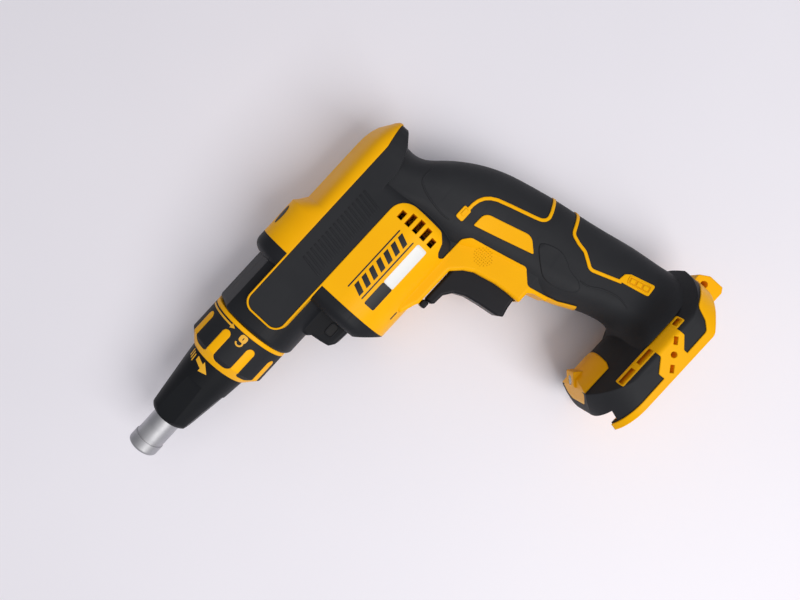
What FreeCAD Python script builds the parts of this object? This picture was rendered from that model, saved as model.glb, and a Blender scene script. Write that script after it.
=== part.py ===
"""Cordless drywall screwgun, lying on its right side with the nose towards -X."""
import FreeCAD, Part
import math
import os

V = FreeCAD.Vector

# Fits: cuts overrun, seated pieces, running fits, and gaps between moving pieces.
OVERRUN = 3.0
SEAT_FIT = 0.05
RUN_FIT = 0.06
MOVE_GAP = 0.4

# Nosepiece, the metal tube that meets the board.
TIP_RADIUS = 8.6
TIP_TUBE_RADIUS = 8.1
TIP_SHOWN = 22.0
TIP_SEAT = 16.0
TIP_LIP = 6.5
TIP_ROUND = 1.6
TIP_BORE_RADIUS = 5.6
TIP_MOUTH = 14.0

# Nose cone and its skirt inside the depth collar.
CONE_SHOWN = 41.7
CONE_DOME = 5.2
CONE_FRONT_RADIUS = 12.9
CONE_REAR_RADIUS = 17.0
CONE_FLATS = 4
CONE_FLAT_DEPTH = 2.2
CONE_FLAT_LENGTH = 23.0
CONE_FLAT_STEP = 0.8
SKIRT_LENGTH = 18.0
DEPTH_TRAVEL = 3.0

# Depth collar.
COLLAR_LENGTH = 27.0
COLLAR_RADIUS = 23.3
COLLAR_SLOPE = 6.3
COLLAR_COAT = 2.2
COLLAR_FRONT_RIM = 3.6
COLLAR_REAR_RIM = 2.3
COLLAR_FLANGE = 4.2
COLLAR_FINGERS = 9
FINGER_WIDTH = 5.2
FINGER_LENGTH = 17.0
BAY_ROUND = 3.6
FINGER_TURN = 11.0

# Gear case.
SPIGOT_RADIUS = 13.6
CASE_SHOWN = 42.6
CASE_RADIUS = 25.0
CASE_ROUND = 2.4
CASE_TOP = 22.8
CASE_FACET_OUT = 23.3
CASE_FACET_TURN = 33.0
CASE_FLANGE = 9.8
CASE_FLANGE_RISE = 12.0
CASE_FLANGE_ROUND = 6.0
CASE_BOSS_HALF = 11.0
CASE_BOSS_ROUND = 2.0

# Spindle, bit holder and clutch.
HOLDER_RADIUS = 5.8
HOLDER_LENGTH = 30.0
HOLDER_SHANK_RADIUS = 3.6
HOLDER_SHANK = 14.0
HEX_ACROSS = 6.5
HEX_DEPTH = 11.0
MAGNET_RADIUS = 2.6
MAGNET_LENGTH = 4.0
SPINDLE_RADIUS = 6.0
CLUTCH_RADIUS = 13.0
CLUTCH_FLANGE = 5.0
CLUTCH_TEETH = 3
CLUTCH_TOOTH_TURN = 40.0
CLUTCH_TOOTH_HEIGHT = 2.5
CLUTCH_GAP = 1.5
STUB_RADIUS = 3.4
SPRING_RADIUS = 5.8
SPRING_WIRE = 1.6
SPRING_POCKET = 3.6
BEARING_WIDTH = 7.0
BEARING_RADIUS = 11.0
BEARING_RING = 1.4
BALL_RADIUS = 1.0
BALLS = 8
SEAL_WIDTH = 3.0

# Gears.
GEAR_MODULE = 1.0
GEAR_TEETH = 46
PINION_TEETH = 10
PRESSURE_ANGLE = 20.0
GEAR_WIDTH = 6.5
GEAR_BACKLASH = 0.25
WHEEL_TIP_SHARE = 0.6
WHEEL_ROOT_SHARE = 1.25
PINION_TIP_SHARE = 1.0
PINION_ROOT_SHARE = 0.95
GEAR_HUB_RADIUS = 7.0
GEAR_CASE_GAP = 0.7

# Motor, its axis below the spindle by the gears' centre distance.
PLATE_THICK = 8.0
PLATE_INSET = 5.5
STATOR_RADIUS = 22.0
STATOR_LENGTH = 27.0
STATOR_YOKE = 4.5
STATOR_TEETH = 6
STATOR_TOOTH = 6.0
COIL_WIDTH = 11.0
COIL_OVERHANG = 3.4
ROTOR_RADIUS = 11.0
ROTOR_GAP = 0.8
SHAFT_RADIUS = 2.5
MOTOR_BEARING_RADIUS = 6.5
MOTOR_BEARING_WIDTH = 4.5
SENSOR_RADIUS = 17.0
SENSOR_THICK = 1.3
FAN_RADIUS = 20.5
FAN_WIDTH = 8.5
FAN_DISC = 1.2
FAN_HUB_RADIUS = 5.0
FAN_BLADES = 9
FAN_BLADE_THICK = 1.2
FAN_GAP = 2.0

# Housing: barrel, cap, handle and the soft grip layer.
BARREL_HALF = 28.5
BARREL_TOP = 27.8
CAP_LENGTH = 89.5
MOTOR_SECTION = 64.3
MOTOR_END_ROUND = 9.0
BODY_DEPTH = 132.0
BODY_DROP = 175.0
HANDLE_WALL = 3.6
FRAME_HALF = 14.5
FRAME_ROUND = 2.2
FRAME_END_HALF = 5.0
GRIP_SUNK = 0.5
GRIP_THICK = 1.5
TONGUE_START = 8.8
TONGUE_TOP = 7.6
TONGUE_FOOT = 16.4
TONGUE_CORNER = 6.5
TONGUE_BORDER = 0.9
STRIPE_WIDTH = 1.8
STRIPE_BEND = 4.0
GRIP_CORNER = 10.0
SMALL_CORNER = 1.0

# Foot with its battery rails.
FOOT_HALF = 36.5
FOOT_RISE = 27.0
FOOT_WALL_HEIGHT = 13.0
BAY_HALF = 29.0
BAY_HEIGHT = 9.0
BAY_LENGTH = 72.0
RAIL_LIP = 3.5
RAIL_HEIGHT = 4.0
HOOD_HALF = 6.5
LUG_HALF = 9.0
LUG_HOLE_RADIUS = 2.0
HOOK_HOLE_RADIUS = 1.6
HOOK_HOLE_DEPTH = 6.0
HOOK_SLOT_LENGTH = 4.0
HOOK_SLOT_WIDTH = 2.0
HOOK_SLOT_DEPTH = 4.0
HOOK_SLOT_REACH = 7.0
HOOK_TURN = 35.0
VENT_HEIGHT = 1.6
VENT_FRAME = 0.7

# Trigger, switch and electrics.
TRIGGER_HALF = 9.5
TRIGGER_TRAVEL = 6.0
TRIGGER_ROUND = 1.6
PLUNGER_RADIUS = 3.0
PLUNGER_REACH = 5.0
SWITCH_LENGTH = 26.0
SWITCH_HEIGHT = 28.0
SWITCH_HALF = 11.0
LEVER_HALF = 12.0
LEVER_STEM_HALF = 4.0
LEVER_TRAVEL = 3.0
LEVER_LENGTH = 4.2
LEVER_HEIGHT = 3.7
LEVER_STEM_HEIGHT = 5.0
LEVER_STEM_LENGTH = 2.8
LEVER_GAP = 0.3
MODULE_LENGTH = 46.0
MODULE_HEIGHT = 9.0
MODULE_HALF = 24.0
BAY_ROOF = 1.5
TERMINAL_LENGTH = 10.0
TERMINAL_HEIGHT = 6.0
TERMINAL_HALF = 18.0
CONTACTS = 5
CONTACT_PITCH = 7.5
CONTACT_THICK = 0.8
CONTACT_LENGTH = 14.0
CONTACT_HEIGHT = 4.5
LEADS = 3
LEAD_RADIUS = 1.2
LEAD_PITCH = 4.0
LENS_RADIUS = 2.7
LENS_THICK = 2.0
LAMP_BOARD_THICK = 1.2

# Fasteners.
SCREW_HEAD_RADIUS = 3.3
SCREW_HEAD_HEIGHT = 2.5
SCREW_SHANK_RADIUS = 1.7
SCREW_HALF_LENGTH = 9.0
SCREW_BOSS_RADIUS = 4.6
CASE_SCREW_RADIUS = 1.5
CASE_SCREW_HEAD = 2.6
CASE_SCREW_HEAD_HEIGHT = 2.2
CASE_SCREW_DEPTH = 6.0

# Motor vents.
VENTS = 5
VENT_SLOT = 3.0
VENT_PITCH = 5.1
VENT_LENGTH = 7.5

# Places along the spindle line.
X_CONE = TIP_SHOWN
X_COLLAR = X_CONE + CONE_SHOWN
X_CASE = X_COLLAR + COLLAR_LENGTH + MOVE_GAP
X_SHELL = X_CASE + CASE_SHOWN
MOTOR_DROP = GEAR_MODULE * (GEAR_TEETH + PINION_TEETH) / 2
X_GEAR = X_SHELL - MOVE_GAP - GEAR_WIDTH
X_CLUTCH = X_GEAR - CLUTCH_TOOTH_HEIGHT - CLUTCH_GAP - CLUTCH_TOOTH_HEIGHT
SPINDLE_TRAVEL = CLUTCH_GAP + CLUTCH_TOOTH_HEIGHT - MOVE_GAP
X_SPIGOT = X_COLLAR + DEPTH_TRAVEL
X_BEARING = X_SPIGOT + SEAL_WIDTH
X_HOLDER = TIP_MOUTH + DEPTH_TRAVEL + MOVE_GAP
X_SPINDLE = X_HOLDER + HOLDER_LENGTH
X_PLATE_END = X_SHELL + PLATE_THICK
X_COIL = X_PLATE_END + SENSOR_THICK + MOVE_GAP
X_STATOR = X_COIL + COIL_OVERHANG
X_STATOR_END = X_STATOR + STATOR_LENGTH
X_FAN = X_STATOR_END + COIL_OVERHANG + FAN_GAP
X_MOTOR_END = X_FAN + FAN_WIDTH + MOVE_GAP
X_SHAFT_END = X_MOTOR_END + MOTOR_BEARING_WIDTH
FOOT_TOP = FOOT_RISE - BODY_DROP
BAY_TOP = BAY_HEIGHT - BODY_DROP
SKIRT_BORE = SPIGOT_RADIUS + MOVE_GAP
COLLAR_BORE = CONE_REAR_RADIUS + MOVE_GAP

# Round corners: share of the corner taken by the curve's handles.
ROUND_SHARE = 0.552
CASE_SQUARE_SHARE = 0.66

# Cap sections: place, top, flat half, half width, curve handles, shoulder, floor.
CAP_SHARES = (
    (0.000, 1.000, 0.350, 1.000, 0.552, 0.000, 0.552, 0.216, -0.216),
    (0.246, 1.000, 0.350, 1.000, 0.552, 0.000, 0.552, 0.216, -0.216),
    (0.322, 0.848, 0.280, 1.000, 0.700, 0.440, 0.480, 0.216, -0.216),
    (0.760, 0.848, 0.280, 1.000, 0.700, 0.440, 0.480, 0.216, -0.216),
    (0.820, 0.836, 0.280, 0.998, 0.700, 0.440, 0.480, 0.218, -0.160),
    (0.870, 0.806, 0.275, 0.985, 0.690, 0.440, 0.480, 0.222, -0.090),
    (0.915, 0.758, 0.265, 0.955, 0.670, 0.410, 0.480, 0.235, -0.010),
    (0.950, 0.695, 0.250, 0.905, 0.640, 0.360, 0.490, 0.260, 0.070),
    (0.977, 0.622, 0.230, 0.835, 0.610, 0.280, 0.510, 0.295, 0.140),
    (0.993, 0.555, 0.200, 0.745, 0.580, 0.180, 0.530, 0.335, 0.195),
    (1.000, 0.500, 0.170, 0.640, 0.552, 0.080, 0.552, 0.370, 0.235),
)

BARREL_SHOULDER = BARREL_TOP * CAP_SHARES[0][7]

# Handle sections: height, front, rear, half width.
HANDLE_SHARES = (
    (0.071, 0.389, 0.684, 0.772),
    (0.035, 0.389, 0.653, 0.895),
    (-0.017, 0.389, 0.645, 0.947),
    (-0.063, 0.389, 0.670, 0.947),
    (-0.126, 0.396, 0.745, 0.919),
    (-0.189, 0.411, 0.802, 0.856),
    (-0.263, 0.427, 0.848, 0.765),
    (-0.349, 0.472, 0.881, 0.667),
    (-0.440, 0.510, 0.908, 0.611),
    (-0.560, 0.543, 0.936, 0.589),
    (-0.640, 0.575, 0.958, 0.596),
    (-0.709, 0.619, 0.977, 0.611),
    (-0.777, 0.652, 0.990, 0.646),
    (-0.815, 0.660, 0.997, 0.690),
    (-0.838, 0.655, 1.002, 0.770),
    (-0.856, 0.635, 1.005, 0.890),
    (-0.872, 0.600, 1.006, 1.020),
    (-0.892, 0.560, 1.006, 1.130),
)
HANDLE_FRONT_SHARE = 0.30
HANDLE_REAR_SHARE = 0.50

# Side outlines, as shares of the body's depth and drop. A third share is of the grip's widest corner.
FRAME_SHARES = (
    (0.123, -0.257), (0.123, -0.314), (0.186, -0.329), (0.202, -0.335), (0.381, -0.336),
    (0.420, -0.365), (0.443, -0.393), (0.466, -0.462), (0.473, -0.507), (0.475, -0.555),
    (0.527, -0.555), (0.543, -0.570), (0.560, -0.617), (0.684, -0.617), (0.699, -0.257),
)
TRIGGER_SHARES = (
    (0.234, -0.340), (0.234, -0.364), (0.245, -0.371), (0.292, -0.373), (0.330, -0.393),
    (0.352, -0.425), (0.366, -0.473), (0.379, -0.536), (0.394, -0.553), (0.436, -0.545),
    (0.499, -0.540), (0.499, -0.340),
)
GRIP_SHARES = (
    (0.560, 0.039, 1.0), (0.699, 0.062, 0.1), (1.300, 0.062, 0.1), (1.300, -0.920, 0.1),
    (0.972, -0.902, 0.5), (0.898, -0.914, 0.4), (0.875, -0.953, 0.4), (0.847, -0.976, 0.3),
    (0.275, -0.982, 0.1), (0.275, -0.834, 0.1),
    (0.336, -0.834, 0.1), (0.355, -0.864, 0.2), (0.373, -0.872, 0.15), (0.517, -0.872, 0.15),
    (0.533, -0.864, 0.15), (0.590, -0.800, 0.4), (0.605, -0.720, 0.4), (0.628, -0.697, 0.1),
    (0.590, -0.643, 0.2), (0.546, -0.540, 0.3), (0.598, -0.499, 0.3), (0.533, -0.317, 0.5),
    (0.502, -0.298, 0.3), (0.398, -0.297, 0.1), (0.383, -0.286, 0.1), (0.398, -0.275, 0.15),
    (0.434, -0.265, 0.2), (0.466, -0.240, 0.3), (0.466, -0.089, 1.0),
)
LEAF_SHARES = (
    (0.571, -0.296, 0.05), (0.638, -0.297, 0.5), (0.701, -0.446, 0.6), (0.652, -0.487, 0.05),
)
LINE_ONE_SHARES = (
    (0.590, -0.254), (0.625, -0.254), (0.652, -0.258), (0.676, -0.267), (0.694, -0.280),
    (0.709, -0.298), (0.730, -0.340), (0.765, -0.418), (0.774, -0.435), (0.787, -0.446),
    (0.804, -0.449), (0.830, -0.444), (0.972, -0.406),
)
BOX_ONE_SHARES = ((0.548, -0.238), (0.604, -0.238), (0.604, -0.264), (0.548, -0.264))
LINE_TWO_SHARES = (
    (0.972, -0.486), (0.900, -0.516), (0.823, -0.535), (0.808, -0.565), (0.800, -0.595),
    (0.760, -0.642), (0.806, -0.735),
)
BOX_TWO_SHARES = (
    (0.802, -0.723), (0.839, -0.727), (0.855, -0.741), (0.883, -0.816), (0.830, -0.818),
)
FOOT_SHARES = (
    (0.425, -0.838), (0.385, -0.868), (0.362, -0.900), (0.340, -0.945), (0.345, -1.000),
    (0.858, -1.000), (0.907, -0.977), (0.972, -0.952), (1.020, -0.937), (1.037, -0.906),
    (1.020, -0.857), (0.987, -0.789),
)
FOOT_CORNER_SHARES = (0.3, 0.3, 0.3, 0.3, 0.2, 0.6, 0.4, 0.4, 0.3, 0.3, 0.3, 0.3)
BOSS_SHARES = (
    (0.610, -0.959), (0.663, -0.930), (0.663, -0.909), (0.723, -0.896), (0.751, -0.896),
    (0.781, -0.910), (0.782, -0.936), (0.739, -0.965), (0.741, -1.017), (0.616, -1.017),
)
HOOD_SHARES = ((0.370, -0.870), (0.424, -0.829), (0.480, -0.866))
LUG_SHARES = (
    (0.940, -0.995), (0.940, -0.905), (1.060, -0.905), (1.085, -0.935), (1.085, -0.985), (1.065, -0.995),
)
CASE_BOSS_SHARES = (
    (-0.202, -0.110), (-0.202, -0.149), (-0.187, -0.160), (-0.180, -0.194), (-0.172, -0.220),
    (-0.149, -0.232), (-0.060, -0.237), (-0.060, -0.110),
)

# Places in the side view, as the same shares.
SLOT_BOTTOM_SHARE = -0.5475
SLOT_TOP_SHARE = -0.3375
SWITCH_PLACE_SHARES = (0.552, -0.368)
LEVER_PLACE_SHARES = (0.199, -0.3355)
MODULE_PLACE_SHARE = 0.502
LEAD_TOP_SHARE = 0.75
LEAD_FOOT_SHARE = 0.86
LUG_HOLE_SHARES = (1.043, -0.937)
HOOK_PLACE_SHARES = (0.701, -0.953)
VENT_LINE_SHARE = -0.904
VENT_LINE_SHARES = ((0.492, 0.565), (0.591, 0.663), (0.788, 0.821))
MOTOR_VENT_SHARES = (0.415, -0.183)
SCREW_SHARES = (
    (0.123, 0.105), (0.570, 0.060), (0.540, -0.268), (0.800, -0.380), (0.612, -0.598),
    (0.905, -0.700), (0.470, -0.905), (0.925, -0.892),
)
BOSSED_SCREWS = (4, 5)
CASE_SCREW_SHARES = ((-0.741, 0.680), (-0.741, -0.680), (-1.619, 0.560), (-1.619, -0.560))
CAVITY_SHARES = ((0.140, 0.480), (0.010, 0.060), 0.62)
FOOT_FRONT_SHARES = (0.50, 0.96)
BAY_PLACE_SHARE = 0.322
FOOT_ARCH_SHARE = 0.36
FRAME_END_SHARES = (-0.545, -0.640)
VENT_SPAN_SHARES = (0.62, 0.92, 1.0, 0.92, 0.62)
FOOT_TAIL_SHARE = 0.845


def spot(share):
    """Point of the side view from its shares of the body's depth and drop."""
    return V(X_SHELL + share[0] * BODY_DEPTH, share[1] * BODY_DROP, 0)


def bend(start, first, second, end):
    """One smooth edge from its two ends and two handles."""
    edge = Part.BezierCurve()
    edge.setPoles([start, first, second, end])
    return edge.toShape()


def quarter(start, corner, end, hold=ROUND_SHARE):
    """Quarter round edge that leaves both ends along the corner's sides."""
    return bend(start, start + (corner - start) * hold, end + (corner - end) * hold, end)


def line(start, end):
    """Straight edge."""
    return Part.LineSegment(start, end).toShape()


def polygon(points):
    """Face inside a closed row of points."""
    return Part.Face(Part.makePolygon(points + [points[0]]))


def rounded(points, radii):
    """Face of a polygon whose corners are rounded, one radius per corner, none where it is 0."""
    edges = []
    last = None
    first = None
    for index, point in enumerate(points):
        before = (points[index - 1] - point).normalize()
        after = (points[(index + 1) % len(points)] - point).normalize()
        half = before.getAngle(after) / 2
        reach = radii[index] / math.tan(half)
        start = point + before * reach
        end = point + after * reach
        middle = point + (before + after).normalize() * (radii[index] / math.sin(half) - radii[index])
        if last is None:
            first = start
        else:
            edges.append(line(last, start))
        if radii[index] > 0:
            edges.append(Part.Arc(start, middle, end).toShape())
        last = end
    edges.append(line(last, first))
    return Part.Face(Part.Wire(edges))


def outline(shares, radius=SMALL_CORNER):
    """Rounded face from a table of side view shares."""
    return rounded([spot(share) for share in shares], [radius] * len(shares))


def slab(face, low, high):
    """Face of the side view carried from one side height to another."""
    return face.translated(V(0, 0, low)).extrude(V(0, 0, high - low))


def block(x0, x1, y0, y1, z0, z1):
    """Box between two corners."""
    return Part.makeBox(x1 - x0, y1 - y0, z1 - z0, V(x0, y0, z0))


def rod(x0, x1, radius, drop=0):
    """Cylinder along the spindle line, or along a line below it."""
    return Part.makeCylinder(radius, x1 - x0, V(x0, -drop, 0), V(1, 0, 0))


def tube(x0, x1, outer, inner, drop=0):
    """Ring along the spindle line, or along a line below it."""
    return rod(x0, x1, outer, drop).cut(rod(x0 - OVERRUN, x1 + OVERRUN, inner, drop))


def turned(points, drop=0):
    """Turned solid from points of place and radius."""
    face = polygon([V(x, radius, 0) for x, radius in points])
    solid = face.revolve(V(0, 0, 0), V(1, 0, 0), 360)
    return solid.translated(V(0, -drop, 0))


def about(shape, degrees, drop=0):
    """Shape turned about the spindle line, or about a line below it."""
    return shape.rotated(V(0, -drop, 0), V(1, 0, 0), degrees)


def ring_of(shape, count, drop=0):
    """Equal copies of a shape round a line."""
    return [about(shape, 360 * index / count, drop) for index in range(count)]


def mirrored(shape):
    """The same shape on the other side of the tool."""
    return shape.mirror(V(0, 0, 0), V(0, 0, 1))


def joined(shapes):
    """One solid out of shapes that touch or cross."""
    return shapes[0].multiFuse(shapes[1:]).removeSplitter()


def ribbon(shares, width):
    """Face of a line of constant width with rounded bends, along a row of side view shares."""
    points = [spot(share) for share in shares]
    sides = ([], [])
    radii = ([], [])
    for index, point in enumerate(points):
        before = points[index] - points[max(index - 1, 0)]
        after = points[min(index + 1, len(points) - 1)] - points[index]
        ways = [way.normalize() for way in (before, after) if way.Length > 0]
        way = sum(ways[1:], ways[0]).normalize()
        across = V(-way.y, way.x, 0)
        reach = width / 2 / across.dot(V(-ways[0].y, ways[0].x, 0))
        turn = math.copysign(width / 2, ways[0].cross(ways[-1]).z)
        for side, sign in ((0, 1), (1, -1)):
            sides[side].append(point + across * reach * sign)
            radii[side].append((STRIPE_BEND - sign * turn) * (len(ways) - 1))
    return rounded(sides[0] + sides[1][::-1], radii[0] + radii[1][::-1])


def gear_prism(teeth, tip_share, root_share, x0, width, drop, start):
    """Spur gear with involute flanks, from its teeth and its tip and root shares."""
    pitch = GEAR_MODULE * teeth / 2
    angle = math.radians(PRESSURE_ANGLE)
    base = pitch * math.cos(angle)
    tip = pitch + tip_share * GEAR_MODULE
    root = pitch - root_share * GEAR_MODULE
    flank_shares = (0, 0.35, 0.7, 1)
    flank = [max(base, root) + (tip - max(base, root)) * share for share in flank_shares]

    def half_turn(radius):
        roll = math.acos(base / radius)
        thick = math.pi / 2 / teeth + math.tan(angle) - angle - (math.tan(roll) - roll)
        return thick - GEAR_BACKLASH / 2 / pitch / 2

    points = []
    for tooth in range(teeth):
        centre = math.radians(start) + 2 * math.pi * tooth / teeth
        rows = [(root, -half_turn(flank[0]))] + [(radius, -half_turn(radius)) for radius in flank]
        rows += [(radius, -turn) for radius, turn in rows[::-1]]
        for radius, turn in rows:
            way = centre + turn
            points.append(V(x0, radius * math.cos(way) - drop, radius * math.sin(way)))
    return polygon(points).extrude(V(width, 0, 0))


def barrel_wire(x, inset):
    """Barrel section at a place, closed by the round under the motor."""
    half = BARREL_HALF - inset
    top = BARREL_TOP - inset
    flat = half * CAP_SHARES[0][2]
    drop = -MOTOR_DROP
    bottom = drop - half
    edges = [line(V(x, top, -flat), V(x, top, flat))]
    edges.append(quarter(V(x, top, flat), V(x, top, half), V(x, BARREL_SHOULDER, half)))
    edges.append(line(V(x, BARREL_SHOULDER, half), V(x, drop, half)))
    edges.append(quarter(V(x, drop, half), V(x, bottom, half), V(x, bottom, 0)))
    edges.append(quarter(V(x, bottom, 0), V(x, bottom, -half), V(x, drop, -half)))
    edges.append(line(V(x, drop, -half), V(x, BARREL_SHOULDER, -half)))
    edges.append(quarter(V(x, BARREL_SHOULDER, -half), V(x, top, -half), V(x, top, -flat)))
    return Part.Wire(edges)


def barrel_prism(x0, x1, inset):
    """Length of the whole barrel section."""
    return Part.Face(barrel_wire(x0, inset)).extrude(V(x1 - x0, 0, 0))


def cap_wire(row, inset):
    """One section of the cap, from its row of shares."""
    place, top_share, flat_share, half_share, out, down, up, shoulder_share, floor_share = row
    x = X_SHELL + CAP_LENGTH * place - inset * place
    top = BARREL_TOP * top_share - inset
    half = BARREL_HALF * half_share - inset
    flat = half * flat_share
    shoulder = BARREL_TOP * shoulder_share
    floor = BARREL_TOP * floor_share + inset * place
    wide = half - flat
    tall = top - shoulder
    right = [V(x, top, flat), V(x, top - tall * down, flat + wide * out),
             V(x, shoulder + tall * up, half), V(x, shoulder, half)]
    left = [V(point.x, point.y, -point.z) for point in right[::-1]]
    edges = [line(left[3], right[0]), bend(*right), line(right[3], V(x, floor, half))]
    edges += [line(V(x, floor, half), V(x, floor, -half)), line(V(x, floor, -half), left[0])]
    edges.append(bend(*left))
    return Part.Wire(edges)


def cap_form(inset):
    """Upper barrel: front hump, lower roof behind it and the tail over the web."""
    return Part.makeLoft([cap_wire(row, inset) for row in CAP_SHARES], True, True)


def motor_form(inset):
    """Lower barrel round the motor, with a rounded rear end."""
    end = X_SHELL + MOTOR_SECTION - inset
    solid = barrel_prism(X_SHELL, end, inset)
    above = block(X_SHELL - OVERRUN, end + OVERRUN, BARREL_SHOULDER - inset, BARREL_TOP + OVERRUN,
                  -BARREL_HALF - OVERRUN, BARREL_HALF + OVERRUN)
    solid = solid.cut(above)
    rims = [edge for edge in solid.Edges
            if edge.BoundBox.XMin > end - SEAT_FIT and edge.BoundBox.YMin < -SEAT_FIT]
    return solid.makeFillet(MOTOR_END_ROUND - inset, rims)


def handle_wire(row, inset):
    """One section of the handle across its length."""
    height, front_share, rear_share, half_share = row
    y = BODY_DROP * height
    front = X_SHELL + BODY_DEPTH * front_share + inset
    rear = X_SHELL + BODY_DEPTH * rear_share - inset
    half = BARREL_HALF * half_share - inset
    fore = front + (rear - front) * HANDLE_FRONT_SHARE
    aft = rear - (rear - front) * HANDLE_REAR_SHARE
    edges = [quarter(V(front, y, 0), V(front, y, half), V(fore, y, half))]
    edges.append(line(V(fore, y, half), V(aft, y, half)))
    edges.append(quarter(V(aft, y, half), V(rear, y, half), V(rear, y, 0)))
    edges.append(quarter(V(rear, y, 0), V(rear, y, -half), V(aft, y, -half)))
    edges.append(line(V(aft, y, -half), V(fore, y, -half)))
    edges.append(quarter(V(fore, y, -half), V(front, y, -half), V(front, y, 0)))
    return Part.Wire(edges)


def handle_form(inset):
    """Handle from the web behind the barrel down into the foot."""
    return Part.makeLoft([handle_wire(row, inset) for row in HANDLE_SHARES], True, False)


def frame_form(inset):
    """Block behind the trigger, joined to the barrel and the handle."""
    half = FRAME_HALF - inset
    solid = slab(outline(FRAME_SHARES), -half, half)
    rims = [edge for edge in solid.Edges if edge.BoundBox.ZLength < SEAT_FIT]
    solid = solid.makeFillet(FRAME_ROUND, rims)
    high, low = [share * BODY_DROP for share in FRAME_END_SHARES]
    end = FRAME_END_HALF - inset
    sides = [V(X_SHELL, high, half), V(X_SHELL, low, end), V(X_SHELL, low, -end), V(X_SHELL, high, -half)]
    sides += [V(X_SHELL, 0, -half), V(X_SHELL, 0, half)]
    return solid.common(polygon(sides).extrude(V(BODY_DEPTH, 0, 0)))


def foot_arch(inset):
    """Foot section across its length: arched top and upright sides."""
    front = spot(FOOT_SHARES[3]).x - OVERRUN
    half = FOOT_HALF - inset
    top = FOOT_TOP - inset
    wall = FOOT_WALL_HEIGHT - BODY_DROP
    low = inset - BODY_DROP
    edges = [quarter(V(front, wall, half), V(front, top, half), V(front, top, 0), FOOT_ARCH_SHARE)]
    edges.append(quarter(V(front, top, 0), V(front, top, -half), V(front, wall, -half), FOOT_ARCH_SHARE))
    edges.append(line(V(front, wall, -half), V(front, low, -half)))
    edges.append(line(V(front, low, -half), V(front, low, half)))
    edges.append(line(V(front, low, half), V(front, wall, half)))
    return Part.Face(Part.Wire(edges)).extrude(V(BODY_DEPTH, 0, 0))


def plan_wire(inset, y, share):
    """Foot seen from above at one height: rounded front corners and rounded heel."""
    half = FOOT_HALF - inset
    front = spot(FOOT_SHARES[3]).x + inset
    rear = spot(FOOT_SHARES[9]).x - inset
    tail = X_SHELL + BODY_DEPTH * FOOT_TAIL_SHARE
    nose = half * share
    edges = [quarter(V(front, y, half - nose), V(front, y, half), V(front + nose, y, half))]
    edges.append(line(V(front + nose, y, half), V(tail, y, half)))
    edges.append(quarter(V(tail, y, half), V(rear, y, half), V(rear, y, 0)))
    edges.append(quarter(V(rear, y, 0), V(rear, y, -half), V(tail, y, -half)))
    edges.append(line(V(tail, y, -half), V(front + nose, y, -half)))
    edges.append(quarter(V(front + nose, y, -half), V(front, y, -half), V(front, y, nose - half)))
    edges.append(line(V(front, y, nose - half), V(front, y, half - nose)))
    return Part.Wire(edges)


def foot_plan(inset):
    """Foot's plan, whose front corners grow rounder from its floor to its top."""
    low = plan_wire(inset, -BODY_DROP - OVERRUN, FOOT_FRONT_SHARES[0])
    high = plan_wire(inset, FOOT_TOP + OVERRUN, FOOT_FRONT_SHARES[1])
    return Part.makeLoft([low, high], True, True)


def foot_form(inset):
    """Foot: side outline, arched section and plan taken together."""
    radii = [GRIP_CORNER * share for share in FOOT_CORNER_SHARES]
    side = slab(rounded([spot(share) for share in FOOT_SHARES], radii), -BODY_DEPTH, BODY_DEPTH)
    return foot_arch(inset).common(foot_plan(inset)).common(side)


def tongue_form(inset):
    """Side arms of the housing that reach forward along the gear case."""
    front = X_CASE + TONGUE_START
    corners = [V(front, TONGUE_TOP, 0), V(X_SHELL, TONGUE_TOP, 0), V(X_SHELL, -TONGUE_FOOT, 0),
               V(front, -TONGUE_FOOT, 0)]
    face = rounded(corners, [TONGUE_CORNER, 0, 0, TONGUE_CORNER])
    arms = slab(face, -BODY_DEPTH, BODY_DEPTH).common(barrel_prism(front, X_SHELL, inset))
    return arms.cut(case_body(SEAT_FIT))


def housing_form(inset):
    """Whole outside of the housing, or the same form sunk by an inset."""
    return joined([cap_form(inset), motor_form(inset), handle_form(inset), frame_form(inset),
                   foot_form(inset), tongue_form(inset)])


def grip_prism():
    """Side view area of the soft grip on the left, without its yellow lines and panels."""
    front = X_CASE + TONGUE_START + TONGUE_BORDER
    corner = TONGUE_CORNER - TONGUE_BORDER
    points = [V(front, TONGUE_BORDER - TONGUE_FOOT, 0), V(front, TONGUE_TOP - TONGUE_BORDER, 0)]
    points += [spot(share) for share in GRIP_SHARES]
    radii = [corner, corner] + [GRIP_CORNER * share[2] for share in GRIP_SHARES]
    area = slab(rounded(points, radii), 0, BODY_DEPTH)
    leaf = rounded([spot(share) for share in LEAF_SHARES], [GRIP_CORNER * share[2] for share in LEAF_SHARES])
    windows = [leaf, outline(BOX_ONE_SHARES), outline(BOX_TWO_SHARES),
               outline(BOSS_SHARES), ribbon(LINE_ONE_SHARES, STRIPE_WIDTH),
               ribbon(LINE_TWO_SHARES, STRIPE_WIDTH), vent_frame()]
    return area.cut([slab(face, -OVERRUN, BODY_DEPTH + OVERRUN) for face in windows])


def vent_frame():
    """Yellow rim round the row of slots on the foot's side."""
    low = VENT_LINE_SHARE * BODY_DROP - VENT_HEIGHT / 2 - VENT_FRAME
    high = low + VENT_HEIGHT + 2 * VENT_FRAME
    left = X_SHELL + VENT_LINE_SHARES[0][0] * BODY_DEPTH - VENT_FRAME
    right = X_SHELL + VENT_LINE_SHARES[2][1] * BODY_DEPTH + VENT_FRAME
    points = [V(left, low, 0), V(right, low, 0), V(right, high, 0), V(left, high, 0)]
    return rounded(points, [VENT_FRAME] * 4)


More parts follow.
